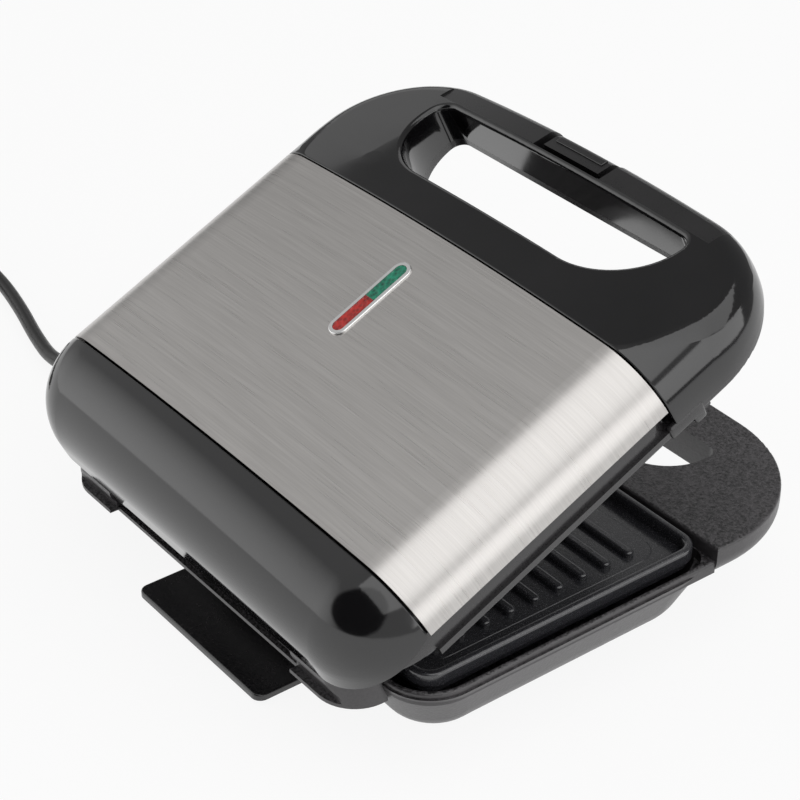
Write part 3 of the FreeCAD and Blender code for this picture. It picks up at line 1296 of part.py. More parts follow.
def cord_coil():
    edges = coil_path()
    start = edges[0].Vertexes[0].Point
    ring = Part.makeCircle(CORD_R, start, Vector(1, 0, 0))
    coil = Part.Wire(edges).makePipeShell([Part.Wire(ring)], True, False)
    length = sum(edge.Length for edge in edges)
    spots = []
    for edge in edges:
        spots += edge.discretize(Distance=GAP_TEST_STEP)[:-1]
    apart = int(math.pi * 2 * CORD_R / GAP_TEST_STEP) + 3
    gaps = [(spots[i] - spots[j]).Length for i in range(len(spots)) for j in range(i + apart, len(spots))]
    print("coil length", round(length, 1), "least gap to itself", round(min(gaps) - 2 * CORD_R, 2))
    print("coil volume / section x length", round(coil.Volume / (math.pi * CORD_R ** 2 * length), 4))
    return coil


def cord_tie():
    """A strap round both layers of the coil."""
    x = COIL_X - COIL_OUTER_R + COIL_STEP * TIE_PLACE_SHARE
    half = CORD_R + TIE_SIDE_GAP
    z0 = COIL_LOW_Z - CORD_R - TIE_GAP
    z1 = COIL_HIGH_Z + CORD_R + TIE_GAP
    y0, y1 = COIL_Y - TIE_WIDTH / 2, COIL_Y + TIE_WIDTH / 2
    strap = box(x - half - TIE_T, x + half + TIE_T, y0, y1, z0 - TIE_T, z1 + TIE_T)
    corners = [e for e in strap.Edges if abs(e.CenterOfMass.y - COIL_Y) < EDGE_TOL]
    strap = strap.makeFillet(TIE_CORNER_R, corners)
    hole = box(x - half, x + half, y0 - OVERRUN, y1 + OVERRUN, z0, z1)
    corners = [e for e in hole.Edges if abs(e.CenterOfMass.y - COIL_Y) < EDGE_TOL]
    return strap.cut(hole.makeFillet(TIE_CORNER_R - TIE_T, corners))


def plug_front_x():
    return COIL_X - 2 * CORD_R - PLUG_SLEEVE - PLUG_LENGTH


def plug_body():
    """A flat two-pin plug lying beside the coil, with its tapered sleeve on the cord's end."""
    x1 = COIL_X - 2 * CORD_R
    x_back = x1 - PLUG_SLEEVE
    y = COIL_Y + COIL_OUTER_R
    z = COIL_HIGH_Z
    front = plug_front_x()
    end = Vector(x1, y, z)
    sleeve = Part.makeCone(PLUG_SLEEVE_R, PLUG_SLEEVE_ROOT_R, PLUG_SLEEVE, end, Vector(-1, 0, 0))
    body = box(front, x_back, y - PLUG_WIDTH / 2, y + PLUG_WIDTH / 2, PLUG_LIFT, 2 * z - PLUG_LIFT)
    body = body.makeFillet(PLUG_EDGE_R, [e for e in body.Edges if e.CenterOfMass.x > front + SEARCH])
    whole = fused([sleeve, body])
    for side in (-1, 1):
        pin_y = y + side * PLUG_PIN_SPACING / 2
        whole = whole.cut(rod_x(front - OVERRUN, front + PLUG_PIN_SEAT, pin_y, z, PLUG_PIN_R))
    return whole


def plug_pins():
    y = COIL_Y + COIL_OUTER_R
    front = plug_front_x()
    pins = []
    for side in (-1, 1):
        pin_y = y + side * PLUG_PIN_SPACING / 2
        pin = rod_x(front - PLUG_PIN_LENGTH, front + PLUG_PIN_SEAT, pin_y, COIL_HIGH_Z, PLUG_PIN_R)
        tip = min(pin.Faces, key=lambda face: face.CenterOfMass.x)
        pins.append(pin.makeFillet(PLUG_PIN_ROUND, tip.Edges))
    return Part.makeCompound(pins)


def opened(shape):
    """Turn a closed lid piece up to the angle at which the lid stands."""
    turned = shape.copy()
    turned.rotate(Vector(0, HINGE_Y, HINGE_Z), Vector(-1, 0, 0), LID_REST_ANGLE)
    return turned


BASE_NODES = {
    "base_shell": base_shell,
    "base_plate": cooking_plate,
    "base_heater": heater,
    "base_reflector": reflector,
    "base_plate_screws": plate_screws,
    "thermostat": thermostat,
    "thermal_fuse": thermal_fuse,
    "terminal_block": terminal_block,
    "base_leads": base_leads,
    "cord_wrap_plate": wrap_plate,
    "cord_wrap_screws": wrap_screws,
    "front_feet": front_feet,
    "rear_feet": rear_feet,
    "hinge_pins": hinge_pins,
    "cord_gland": cord_gland,
    "cord_clamp": cord_clamp,
    "cord_clamp_screws": cord_clamp_screws,
    "mains_cord": mains_cord,
    "cord_coil": cord_coil,
    "cord_tie": cord_tie,
    "plug_body": plug_body,
    "plug_pins": plug_pins,
}

LID_NODES = {
    "lid_frame": lid_frame,
    "lid_steel_cover": steel_cover,
    "lid_handle": front_moulding,
    "lid_back_cover": back_cover,
    "lid_plate": lambda: flipped(cooking_plate()),
    "lid_heater": lambda: flipped(heater()),
    "lid_reflector": lambda: flipped(reflector()),
    "lid_plate_screws": lid_plate_screws,
    "handle_screws": handle_screws,
    "cover_screws": cover_screws,
    "lamp_bezel": lamp_bezel,
    "green_lens": lambda: lens(True),
    "red_lens": lambda: lens(False),
    "green_lamp": lambda: neon_lamp(True),
    "red_lamp": lambda: neon_lamp(False),
    "lamp_holder": lamp_holder,
    "lid_leads": lid_leads,
    "latch_pin": latch_pin,
    "latch_clip": latch_clip,
}


def main():
    os.makedirs("parts", exist_ok=True)
    for name, make in BASE_NODES.items():
        make().exportStep("parts/" + name + ".step")
    for name, make in LID_NODES.items():
        opened(make()).exportStep("parts/" + name + ".step")


if __name__ == "__main__":
    main()
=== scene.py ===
# %% [markdown]
# # A hinged sandwich maker
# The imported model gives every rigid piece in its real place. This lesson adds the camera, the
# mains cord, a finish for each surface, the small details and the light.

# %% Load the frame
import math

import bpy
from mathutils import Matrix, Vector


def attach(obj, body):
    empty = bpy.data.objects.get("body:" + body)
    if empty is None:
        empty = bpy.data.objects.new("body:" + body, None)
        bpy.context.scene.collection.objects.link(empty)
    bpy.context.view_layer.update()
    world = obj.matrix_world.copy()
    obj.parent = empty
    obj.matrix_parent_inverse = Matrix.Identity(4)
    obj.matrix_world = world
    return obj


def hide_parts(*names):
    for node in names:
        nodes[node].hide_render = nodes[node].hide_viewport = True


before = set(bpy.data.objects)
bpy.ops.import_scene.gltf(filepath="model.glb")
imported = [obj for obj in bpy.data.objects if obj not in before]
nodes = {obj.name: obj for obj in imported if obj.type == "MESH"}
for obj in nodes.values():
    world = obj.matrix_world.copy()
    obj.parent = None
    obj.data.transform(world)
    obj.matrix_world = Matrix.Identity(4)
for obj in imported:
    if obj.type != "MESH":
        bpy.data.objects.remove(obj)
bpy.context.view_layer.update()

print("pieces in the frame:", len(nodes))

# %% [markdown]
# ## Camera
# The viewing angle was worked out from edges of the real object: the camera stands behind it and
# to one side, about a third of a right angle above the table, with a long lens so that
# the far edges hardly shrink. A direction and a distance place it more plainly than coordinates.

# %% Place the camera
VIEW_AZIMUTH = math.radians(232.7)
VIEW_ELEVATION = math.radians(32.7)
VIEW_DISTANCE = 0.8931
VIEW_TARGET = Vector((0.0194, -0.0039, 0.0588))
VIEW_LENS = 103.2
SENSOR_WIDTH = 36.0
NEAREST_SEEN = 0.05
FARTHEST_SEEN = 50.0

towards_camera = Vector((
    math.sin(VIEW_AZIMUTH) * math.cos(VIEW_ELEVATION),
    -math.cos(VIEW_AZIMUTH) * math.cos(VIEW_ELEVATION),
    math.sin(VIEW_ELEVATION),
))
camera_data = bpy.data.cameras.new("photo_camera")
camera_data.lens = VIEW_LENS
camera_data.sensor_width = SENSOR_WIDTH
camera_data.clip_start = NEAREST_SEEN
camera_data.clip_end = FARTHEST_SEEN
camera = bpy.data.objects.new("photo_camera", camera_data)
camera.location = VIEW_TARGET + towards_camera * VIEW_DISTANCE
camera.rotation_euler = (-towards_camera).to_track_quat("-Z", "Y").to_euler()
bpy.context.scene.collection.objects.link(camera)
bpy.context.scene.camera = camera
bpy.context.scene.view_settings.view_transform = "Standard"
print("camera at", [round(c, 4) for c in camera.location])

# %% [markdown]
# ## Mains cord
# A mains lead is a fixed length of something flexible. It leaves the gland straight, sinks to
# the table under its own weight and runs out of the picture, where the rest lies in a tied coil.
# The run could be swept from straight pieces and arcs, but that looks like bent wire. A NURBS
# curve with the route's points as its control points, and a round bevel, gives one smooth tube.
# The coil is a spiral by formula: a turn in on the table, half a turn that climbs, a turn out.

# %% Route of the cord
CORD_RADIUS = 0.0033
CORD_ROUTE = [
    (0.136, 0.046, 0.0205),
    (0.157, 0.046, 0.0205),
    (0.179, 0.0495, 0.0145),
    (0.203, 0.0496, 0.0068),
    (0.229, 0.0436, 0.0040),
    (0.256, 0.0362, 0.0036),
    (0.283, 0.0310, 0.0038),
    (0.309, 0.0300, 0.0047),
    (0.3334, 0.0300, 0.0047),
]
COIL_CENTRE = (0.340, 0.070)
COIL_OUTER = 0.040
COIL_STEP = 0.009
COIL_LOW = 0.0047
COIL_HIGH = 0.0119
LOW_TURNS = 1.0
CLIMB_TURNS = 0.5
HIGH_TURNS = 1.0
POINTS_PER_TURN = 16
PLUG_END = (COIL_CENTRE[0] - 2 * CORD_RADIUS, COIL_CENTRE[1] + COIL_OUTER, COIL_HIGH)


def coil_points():
    """Control points of the coil, pushed out a little because the curve cuts inside them."""
    push = 1 / (0.75 + 0.25 * math.cos(2 * math.pi / POINTS_PER_TURN))
    inner = COIL_OUTER - COIL_STEP * LOW_TURNS
    top_start = LOW_TURNS + CLIMB_TURNS
    points = []
    for step in range(int((top_start + HIGH_TURNS) * POINTS_PER_TURN) + 1):
        turn = step / POINTS_PER_TURN
        if turn <= LOW_TURNS:
            radius, height = COIL_OUTER - COIL_STEP * turn, COIL_LOW
        elif turn <= top_start:
            climb = (turn - LOW_TURNS) / CLIMB_TURNS
            ease = climb * climb * (3 - 2 * climb)
            radius, height = inner, COIL_LOW + (COIL_HIGH - COIL_LOW) * ease
        else:
            radius, height = inner + COIL_STEP * (turn - top_start), COIL_HIGH
        angle = 2 * math.pi * turn - math.pi / 2
        points.append((
            COIL_CENTRE[0] + push * radius * math.cos(angle),
            COIL_CENTRE[1] + push * radius * math.sin(angle),
            height,
        ))
    return points


cord_route = CORD_ROUTE + coil_points() + [PLUG_END]
print("cord points:", len(cord_route))

cord_curve = bpy.data.curves.new("mains_lead", "CURVE")
cord_curve.dimensions = "3D"
cord_curve.resolution_u = 8
cord_curve.bevel_depth = 1.0
cord_curve.bevel_resolution = 6
cord_curve.use_fill_caps = True
spline = cord_curve.splines.new("NURBS")
spline.points.add(len(cord_route) - 1)
for point, place in zip(spline.points, cord_route):
    point.co = (*place, 1.0)
    point.radius = CORD_RADIUS
spline.order_u = 3
spline.use_endpoint_u = True
mains_lead = bpy.data.objects.new("mains_lead", cord_curve)
bpy.context.scene.collection.objects.link(mains_lead)
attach(mains_lead, "base")
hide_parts("mains_cord", "cord_coil")

# %% [markdown]
# ## Shader maths
# A finish is a small network of nodes. Writing each sum as a chain of node calls hides what it
# says, so a socket is wrapped in a class whose operators add the Math nodes. One method adds
# every other kind of node, for surfaces and for the room alike.

# %% Sums of sockets


class Field:
    """A number, colour or vector that changes over a surface: the output socket of a node."""

    def __init__(self, network, socket):
        self.network = network
        self.socket = socket

    def __add__(self, other):
        return self.network.sum_of("ADD", self, other)

    def __sub__(self, other):
        return self.network.sum_of("SUBTRACT", self, other)

    def __rsub__(self, other):
        return self.network.sum_of("SUBTRACT", other, self)

    def __mul__(self, other):
        return self.network.sum_of("MULTIPLY", self, other)

    __radd__ = __add__
    __rmul__ = __mul__


class Network:
    """An empty node tree that is filled step by step."""

    def __init__(self, owner):
        owner.use_nodes = True
        self.owner = owner
        self.tree = owner.node_tree
        self.tree.nodes.clear()

    def node(self, kind, settings, sockets, output=0):
        """Add a node: its settings first, then the values or links of its sockets."""
        new = self.tree.nodes.new(kind)
        for key, value in settings.items():
            setattr(new, key, value)
        for key, value in sockets.items():
            if isinstance(value, Field):
                self.tree.links.new(value.socket, new.inputs[key])
            else:
                new.inputs[key].default_value = value
        return Field(self, new.outputs[output]) if new.outputs else None

    def sum_of(self, operation, first, second):
        return self.node("ShaderNodeMath", {"operation": operation}, {0: first, 1: second})

    def band(self, value, low, high, start=0.0, end=1.0):
        """Stretch the values between low and high to start and end, and hold them outside."""
        return self.node("ShaderNodeMapRange", {"clamp": True}, {
            "Value": value, "From Min": low, "From Max": high, "To Min": start, "To Max": end})


print("made", Field.__name__, "and", Network.__name__)

# %% Finish helpers
NOISE_SPAN = (0.3, 0.7)


class Finish(Network):
    """A material under construction."""

    def __init__(self, name):
        super().__init__(bpy.data.materials.new(name))
        self.place = self.node("ShaderNodeTexCoord", {}, {}, "Object")

    def axis(self, name):
        return self.node("ShaderNodeSeparateXYZ", {}, {"Vector": self.place}, name)

    def noise(self, scale, detail=2.0, stretch=None, roughness=0.5, tilt=0.0):
        """Noise with so many waves a metre, stretched along the axes and tilted about X."""
        place = self.place
        if stretch is not None:
            place = self.node("ShaderNodeMapping", {"vector_type": "TEXTURE"}, {
                "Vector": self.place,
                "Rotation": (tilt, 0, 0),
                "Scale": [1 / part for part in stretch],
            })
        return self.node("ShaderNodeTexNoise", {}, {
            "Vector": place, "Scale": scale, "Detail": detail, "Roughness": roughness})

    def blend(self, amount, first, second):
        """Mix two colours."""
        return self.node("ShaderNodeMix", {"data_type": "RGBA"}, {
            0: amount, 6: (*first, 1.0), 7: (*second, 1.0)}, 2)

    def bump(self, height, strength, distance):
        return self.node("ShaderNodeBump", {}, {
            "Height": height, "Strength": strength, "Distance": distance})

    def done(self, **sockets):
        """Give the surface its sockets and return the material."""
        named = {key.replace("_", " "): value for key, value in sockets.items()}
        surface = self.node("ShaderNodeBsdfPrincipled", {}, named)
        self.node("ShaderNodeOutputMaterial", {}, {"Surface": surface})
        return self.owner


def dress(material, *names):
    """Give CAD pieces one material."""
    for name in names:
        mesh = nodes[name].data
        mesh.materials.clear()
        mesh.materials.append(material)
    print(material.name, "on", len(names), "pieces")


print("made", Finish.__name__, "and", dress.__name__)

# %% [markdown]
# ## Brushed steel
# The lid's skin is stainless sheet, brushed from side to side. An anisotropic shader could blur
# its reflections, but would show no scratches. Each scratch is far finer than it is long, so noise
# squeezed across the brushing and drawn out along it gives the streaks. The sheet was brushed
# flat and then bent, so the streaks run on down its sides; the noise is tilted with the lid for
# that. They vary the roughness and the tone and lift the surface a little.

# %% Steel finish
LID_TILT = math.radians(24.9)
FINE_STREAKS = (38, 1900, 38)
BROAD_STREAKS = (14, 800, 14)

steel = Finish("brushed_steel")
fine = steel.noise(1.0, detail=1.0, stretch=FINE_STREAKS, tilt=-LID_TILT)
broad = steel.noise(1.0, detail=3.0, stretch=BROAD_STREAKS, tilt=-LID_TILT)
cloud = steel.noise(9.0)
streak = steel.band(fine * 0.7 + broad * 0.3, *NOISE_SPAN)
brushed_steel = steel.done(
    Base_Color=steel.blend(streak, (0.525, 0.508, 0.492), (0.625, 0.606, 0.588)),
    Metallic=1.0,
    Roughness=steel.band(streak * 0.7 + cloud * 0.3, 0.0, 1.0, 0.25, 0.36),
    Normal=steel.bump(broad, strength=0.012, distance=0.0002),
)
dress(brushed_steel, "lid_steel_cover")

# %% [markdown]
# ## Polished black mouldings
# The handle, the back cover and the latch are moulded in black plastic with a mirror polish.
# A real moulding is never quite flat: a broad, faint waviness bends its reflections. The flat
# panels along the grip bar are a shade duller. They could be pieces of their own; a mask is
# simpler, so the polish fades where the lid's own depth passes the panels' edge. The lid stands
# open, so that depth is worked out along its slope.

# %% Gloss finish
HINGE_Y = 0.0977
HINGE_Z = 0.0385
PANEL_EDGE_Y = -0.0990
PANEL_HALF = 0.0770
PANEL_FADE = 0.0002

gloss = Finish("polished_black")
haze = gloss.noise(40.0, detail=3.0)
specks = gloss.noise(1400.0)
waves = gloss.noise(45.0, detail=1.0)
level_part = (gloss.axis("Y") - HINGE_Y) * math.cos(LID_TILT)
lid_depth = level_part - (gloss.axis("Z") - HINGE_Z) * math.sin(LID_TILT) + HINGE_Y
past_edge = gloss.band(lid_depth, PANEL_EDGE_Y, PANEL_EDGE_Y - PANEL_FADE)
aside = gloss.node("ShaderNodeMath", {"operation": "ABSOLUTE"}, {0: gloss.axis("X")})
on_panel = past_edge * gloss.band(aside, PANEL_HALF, PANEL_HALF - PANEL_FADE)
polish = gloss.band(haze * 0.8 + specks * 0.2, *NOISE_SPAN, 0.07, 0.12)
tone = haze * 0.6 + on_panel * 0.4
polished_black = gloss.done(
    Base_Color=gloss.blend(tone, (0.003, 0.003, 0.0035), (0.011, 0.010, 0.011)),
    Roughness=polish + on_panel * (0.16 + specks * 0.08),
    Specular_IOR_Level=0.9,
    Normal=gloss.bump(waves + on_panel * specks * 0.03, strength=0.03, distance=0.001),
)
dress(polished_black, "lid_handle", "lid_back_cover", "latch_clip")

# %% [markdown]
# ## Satin black mouldings
# The base has a spark-eroded grain, strongest on the broad ledge, where it catches the light as
# small specks. Its walls are smoother, so the grain's depth follows how far a face looks
# upwards. That saves cutting the shell into zones. The lid's housing and the cord rest are smoother
# and darker, so one function makes all three finishes.

# %% Satin finish


def satin_finish(name, dark, pale, rough, grain_strength):
    satin = Finish(name)
    facing = satin.node("ShaderNodeNewGeometry", {}, {}, "Normal")
    lift = satin.node("ShaderNodeSeparateXYZ", {}, {"Vector": facing}, "Z")
    upward = satin.band(lift, 0.6, 0.95, 0.15, 1.0)
    grain = satin.noise(850.0, roughness=0.6)
    wide = satin.noise(30.0, detail=3.0)
    flecks = satin.band((grain - 0.5) * upward + wide * 0.2, -0.05, 0.25)
    return satin.done(
        Base_Color=satin.blend(flecks, dark, pale),
        Roughness=satin.band(grain * 0.6 + wide * 0.4, *NOISE_SPAN, rough, rough + 0.14),
        Specular_IOR_Level=0.8,
        Normal=satin.bump(grain * upward, grain_strength, distance=0.0008),
    )


grained_black = satin_finish(
    "grained_black", (0.006, 0.0055, 0.006), (0.086, 0.080, 0.085), 0.30, grain_strength=0.9)
smooth_black = satin_finish(
    "smooth_black", (0.006, 0.006, 0.007), (0.016, 0.015, 0.016), 0.16, grain_strength=0.1)
housing_black = satin_finish(
    "housing_black", (0.018, 0.017, 0.018), (0.036, 0.034, 0.036), 0.22, grain_strength=0.3)
dress(grained_black, "base_shell")
dress(housing_black, "lid_frame")
dress(smooth_black, "cord_wrap_plate")

# %% [markdown]
# ## Non-stick plates
# The plates are cast aluminium with a sprayed coat: dark, glossy and slightly pebbled, with fine
# bright flecks. Only the peaks of a very fine noise become flecks, so they stay rare and sharp.

# %% Non-stick finish
coat = Finish("nonstick_coat")
pebble = coat.noise(1700.0, detail=3.0)
spark = coat.band(coat.noise(4200.0, detail=1.0), 0.64, 0.72)
nonstick_coat = coat.done(
    Base_Color=coat.blend(spark, (0.028, 0.028, 0.032), (0.17, 0.17, 0.18)),
    Roughness=coat.band(pebble, *NOISE_SPAN, 0.10, 0.20),
    Specular_IOR_Level=1.0,
    Normal=coat.bump(pebble, strength=0.16, distance=0.0002),
)
dress(nonstick_coat, "base_plate", "lid_plate")

# %% [markdown]
# ## Rubber, boards and sleeves
# Rubber is dull with a faint bloom, and so are an insulating board, a moulded terminal and a
# woven sleeve when seen from this far. One recipe with two tones and a roughness serves them all.

# %% Dull finishes


def rubber_finish(name, dark, pale, rough):
    rubber = Finish(name)
    bloom = rubber.noise(300.0, detail=4.0)
    return rubber.done(
        Base_Color=rubber.blend(bloom, dark, pale),
        Roughness=rubber.band(bloom, *NOISE_SPAN, rough - 0.06, rough + 0.06),
        Normal=rubber.bump(rubber.noise(2200.0), strength=0.15, distance=0.0002),
    )


cord_finish = rubber_finish("cord_rubber", (0.014, 0.014, 0.014), (0.024, 0.023, 0.023), 0.36)
foot_finish = rubber_finish("foot_rubber", (0.02, 0.02, 0.02), (0.035, 0.034, 0.034), 0.7)
lead_sleeve = rubber_finish("lead_sleeve", (0.5, 0.48, 0.42), (0.62, 0.6, 0.54), 0.55)
brown_board = rubber_finish("brown_board", (0.16, 0.12, 0.07), (0.24, 0.19, 0.11), 0.6)
pale_terminal = rubber_finish("pale_terminal", (0.6, 0.59, 0.55), (0.72, 0.71, 0.67), 0.5)
mains_lead.data.materials.append(cord_finish)
dress(cord_finish, "cord_gland", "plug_body", "cord_tie")
dress(foot_finish, "front_feet", "rear_feet")
dress(lead_sleeve, "base_leads", "lid_leads", "thermal_fuse")
dress(brown_board, "lamp_holder", "cord_clamp")
dress(pale_terminal, "terminal_block")

# %% [markdown]
# ## Bare metal
# Screws and pins are plated, the reflectors are plain sheet, the heaters are darkened by heat and
# the bezel round the lamps is silvery. All of them show fine scratches along one direction, which
# a stretched noise gives without any modelling.

# %% Metal finishes


def metal_finish(name, dark, pale, rough):
    metal = Finish(name)
    scratch = metal.noise(700.0, detail=4.0, stretch=(1, 6, 1))
    return metal.done(
        Base_Color=metal.blend(scratch, dark, pale),
        Metallic=1.0,
        Roughness=metal.band(scratch, *NOISE_SPAN, rough - 0.06, rough + 0.08),
        Normal=metal.bump(scratch, strength=0.05, distance=0.0002),
    )


plated_steel = metal_finish("plated_steel", (0.5, 0.5, 0.5), (0.7, 0.7, 0.69), 0.25)
plain_sheet = metal_finish("plain_sheet", (0.5, 0.5, 0.5), (0.66, 0.66, 0.66), 0.35)
pin_nickel = metal_finish("pin_nickel", (0.6, 0.57, 0.5), (0.75, 0.72, 0.65), 0.22)
heater_sheath = metal_finish("heater_sheath", (0.18, 0.16, 0.15), (0.3, 0.27, 0.25), 0.45)
silver_bezel = metal_finish("silver_bezel", (0.78, 0.78, 0.78), (0.88, 0.88, 0.87), 0.16)
dress(plated_steel, "base_plate_screws", "lid_plate_screws", "handle_screws", "cover_screws",
      "cord_wrap_screws", "cord_clamp_screws", "hinge_pins", "latch_pin")
dress(plain_sheet, "base_reflector", "lid_reflector", "thermostat")
dress(pin_nickel, "plug_pins")
dress(heater_sheath, "base_heater", "lid_heater")
dress(silver_bezel, "lamp_bezel")

# %% [markdown]
# ## Lamps
# The lenses are coloured plastic with a moulded pattern of small cells. True see-through plastic
# would show the dark inside, so a solid lens gets painted light instead: its cells are painted
# lighter and darker as if light shone through them, and a trace of painted glow is added. The bulbs
# behind are warm glass.

# %% Lamp finishes


def lens_finish(name, deep, lit):
    lens = Finish(name)
    cells = lens.node("ShaderNodeTexVoronoi", {}, {"Vector": lens.place, "Scale": 620.0})
    cloudy = lens.noise(260.0, detail=3.0)
    # The cells' pale tone is painted light shining through the lens.
    painted_shine = lens.band(cells * 0.6 + cloudy * 0.5, 0.2, 0.75)
    colour = lens.blend(painted_shine, deep, lit)
    return lens.done(
        Base_Color=colour,
        Roughness=lens.band(cloudy, *NOISE_SPAN, 0.08, 0.2),
        Coat_Weight=0.25,
        # A faint painted glow in the lens's own colour.
        Emission_Color=colour,
        Emission_Strength=0.06,
        Normal=lens.bump(cells, strength=0.6, distance=0.0006),
    )


dress(lens_finish("red_lens", (0.11, 0.002, 0.002), (0.50, 0.022, 0.016)), "red_lens")
dress(lens_finish("green_lens", (0.0, 0.045, 0.028), (0.010, 0.26, 0.150)), "green_lens")
bulb = Finish("bulb_glass")
bulb_glass = bulb.done(
    Base_Color=bulb.blend(bulb.noise(200.0), (0.7, 0.6, 0.5), (0.8, 0.72, 0.62)),
    Roughness=bulb.band(bulb.noise(500.0), *NOISE_SPAN, 0.05, 0.12),
)
dress(bulb_glass, "red_lamp", "green_lamp")

# %% [markdown]
# ## Modelling helpers
# Each small piece starts as a primitive and is shaped in edit mode. An operator works on all that
# is selected, so a piece is added with nothing else selected. Pieces of the lid are drawn closed,
# in the position that is easy to measure, and then turned about the hinge with the lid.

# %% Shaping helpers
ROUND_ANGLE = math.radians(40)
ROUND_SEGMENTS = 3


def start_piece(operator, **settings):
    bpy.ops.object.select_all(action="DESELECT")
    operator(**settings)
    return bpy.context.object


def apply_place():
    bpy.ops.object.transform_apply(location=True, rotation=True, scale=True)


def choose_faces(piece, test):
    """Enter edit mode with the faces selected that pass a test of their centre and normal."""
    bpy.ops.object.mode_set(mode="EDIT")
    bpy.ops.mesh.select_mode(type="FACE")
    bpy.ops.mesh.select_all(action="DESELECT")
    bpy.ops.object.mode_set(mode="OBJECT")
    for face in piece.data.polygons:
        face.select = test(face.center, face.normal)
    bpy.ops.object.mode_set(mode="EDIT")


def apply_modifier(piece, kind, **settings):
    modifier = piece.modifiers.new(kind.lower(), kind)
    for key, value in settings.items():
        setattr(modifier, key, value)
    bpy.ops.object.modifier_apply(modifier=modifier.name)


def round_edges(piece, width):
    apply_modifier(piece, "BEVEL", width=width, segments=ROUND_SEGMENTS, limit_method="ANGLE",
                   angle_limit=ROUND_ANGLE)


print("edges rounded with", ROUND_SEGMENTS, "segments")

# %% Placing helpers
LID_OPEN = (Matrix.Translation((0, HINGE_Y, HINGE_Z)) @ Matrix.Rotation(-LID_TILT, 4, "X")
            @ Matrix.Translation((0, -HINGE_Y, -HINGE_Z)))


def copy_piece(piece, shift):
    """A copy with a mesh of its own, moved by a shift."""
    bpy.ops.object.select_all(action="DESELECT")
    piece.select_set(True)
    bpy.context.view_layer.objects.active = piece
    bpy.ops.object.duplicate(linked=False)
    copy = bpy.context.object
    copy.location += Vector(shift)
    return copy


def join_pieces(pieces):
    bpy.ops.object.select_all(action="DESELECT")
    for piece in pieces:
        piece.select_set(True)
    bpy.context.view_layer.objects.active = pieces[0]
    bpy.ops.object.join()
    return bpy.context.object


def settle(piece, name, body, material):
    """Put the piece's place into its mesh, name it and let it move with its body."""
    apply_place()
    bpy.ops.object.shade_smooth_by_angle(angle=ROUND_ANGLE)
    piece.name = name
    piece.data.name = name
    piece.data.materials.clear()
    piece.data.materials.append(material)
    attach(piece, body)
    print(name, len(piece.data.polygons), "faces")


print("lid opened by", round(math.degrees(LID_TILT), 1), "degrees")

# %% [markdown]
# ## Rail stops
# The lid's lower rail ends towards the handle in a small hooked block on each side. It is a bar
# with its front end drawn down. Two joined boxes would leave a seam, so one box is bisected, a
# single face is extruded, and all the edges are rounded. The other side is a copy.

# %% Model the rail stops
RAIL_X = 0.1130
RAIL_THICK = 0.0030
RAIL_Y = (-0.0530, -0.0370)
RAIL_Z = (0.0486, 0.0536)
HOOK_Y = RAIL_Y[0] + 0.0052
HOOK_DROP = 0.0028
RAIL_ROUND = 0.0010

rail = start_piece(bpy.ops.mesh.primitive_cube_add, size=1.0,
                   location=(-RAIL_X, sum(RAIL_Y) / 2, sum(RAIL_Z) / 2))
rail.scale = (RAIL_THICK, RAIL_Y[1] - RAIL_Y[0], RAIL_Z[1] - RAIL_Z[0])
apply_place()
bpy.ops.object.mode_set(mode="EDIT")
bpy.ops.mesh.select_all(action="SELECT")
bpy.ops.mesh.bisect(plane_co=(0, HOOK_Y, 0), plane_no=(0, 1, 0))
choose_faces(rail, lambda centre, normal: normal.z < -0.5 and centre.y < HOOK_Y)
bpy.ops.mesh.extrude_region_move(TRANSFORM_OT_translate={"value": (0, 0, -HOOK_DROP)})
bpy.ops.object.mode_set(mode="OBJECT")
round_edges(rail, RAIL_ROUND)
rails = join_pieces([rail, copy_piece(rail, (2 * RAIL_X, 0, 0))])
rails.matrix_world = LID_OPEN @ rails.matrix_world
settle(rails, "rail_stops", "lid", housing_black)

# %% [markdown]
# ## Latch thumb pad
# The latch's head carries a low raised pad for the thumb. It could be cut from a copy of the head,
# but a grid dropped onto it with Shrinkwrap takes its curve exactly and keeps even faces.
# Solidify and Bevel then give it a body and a soft edge.

# %% Model the thumb pad
PAD_SIZE = (0.0260, 0.0040)
PAD_PLACE = (0, -0.1086, 0.0715)
PAD_CELLS = (40, 10)
PAD_RISE = 0.0006
PAD_ROUND = 0.0004

pad = start_piece(bpy.ops.mesh.primitive_grid_add, x_subdivisions=PAD_CELLS[0],
                  y_subdivisions=PAD_CELLS[1], size=1.0, location=PAD_PLACE)
pad.scale = (*PAD_SIZE, 1.0)
pad.matrix_world = LID_OPEN @ pad.matrix_basis
apply_place()
apply_modifier(pad, "SHRINKWRAP", target=nodes["latch_clip"], wrap_method="PROJECT",
               use_project_z=True, use_negative_direction=True, use_positive_direction=False)
apply_modifier(pad, "SOLIDIFY", thickness=PAD_RISE, offset=1.0)
round_edges(pad, PAD_ROUND)
settle(pad, "latch_thumb_pad", "latch", polished_black)

# %% [markdown]
# ## Gland rings
# A strain-relief sleeve is ringed so that it bends evenly. A ring is a short cylinder with inset
# ends and round rims. The sleeve tapers, and a copy drawn smaller would have thinner rims, so
# the rings are not copies: a loop models each one at its own size.

# %% Model the gland rings
RING_COUNT = 5
RING_FIRST_X = 0.1165
RING_STEP = 0.0040
RING_WIDTH = 0.0020
RING_ROUND = RING_WIDTH / 3
RING_PROUD = 0.0006
RING_SIDES = 48
GLAND_Y = 0.0460
GLAND_Z = 0.0205
GLAND_ROOT = (0.1080, 0.0060)
GLAND_TIP = (0.1360, 0.0044)

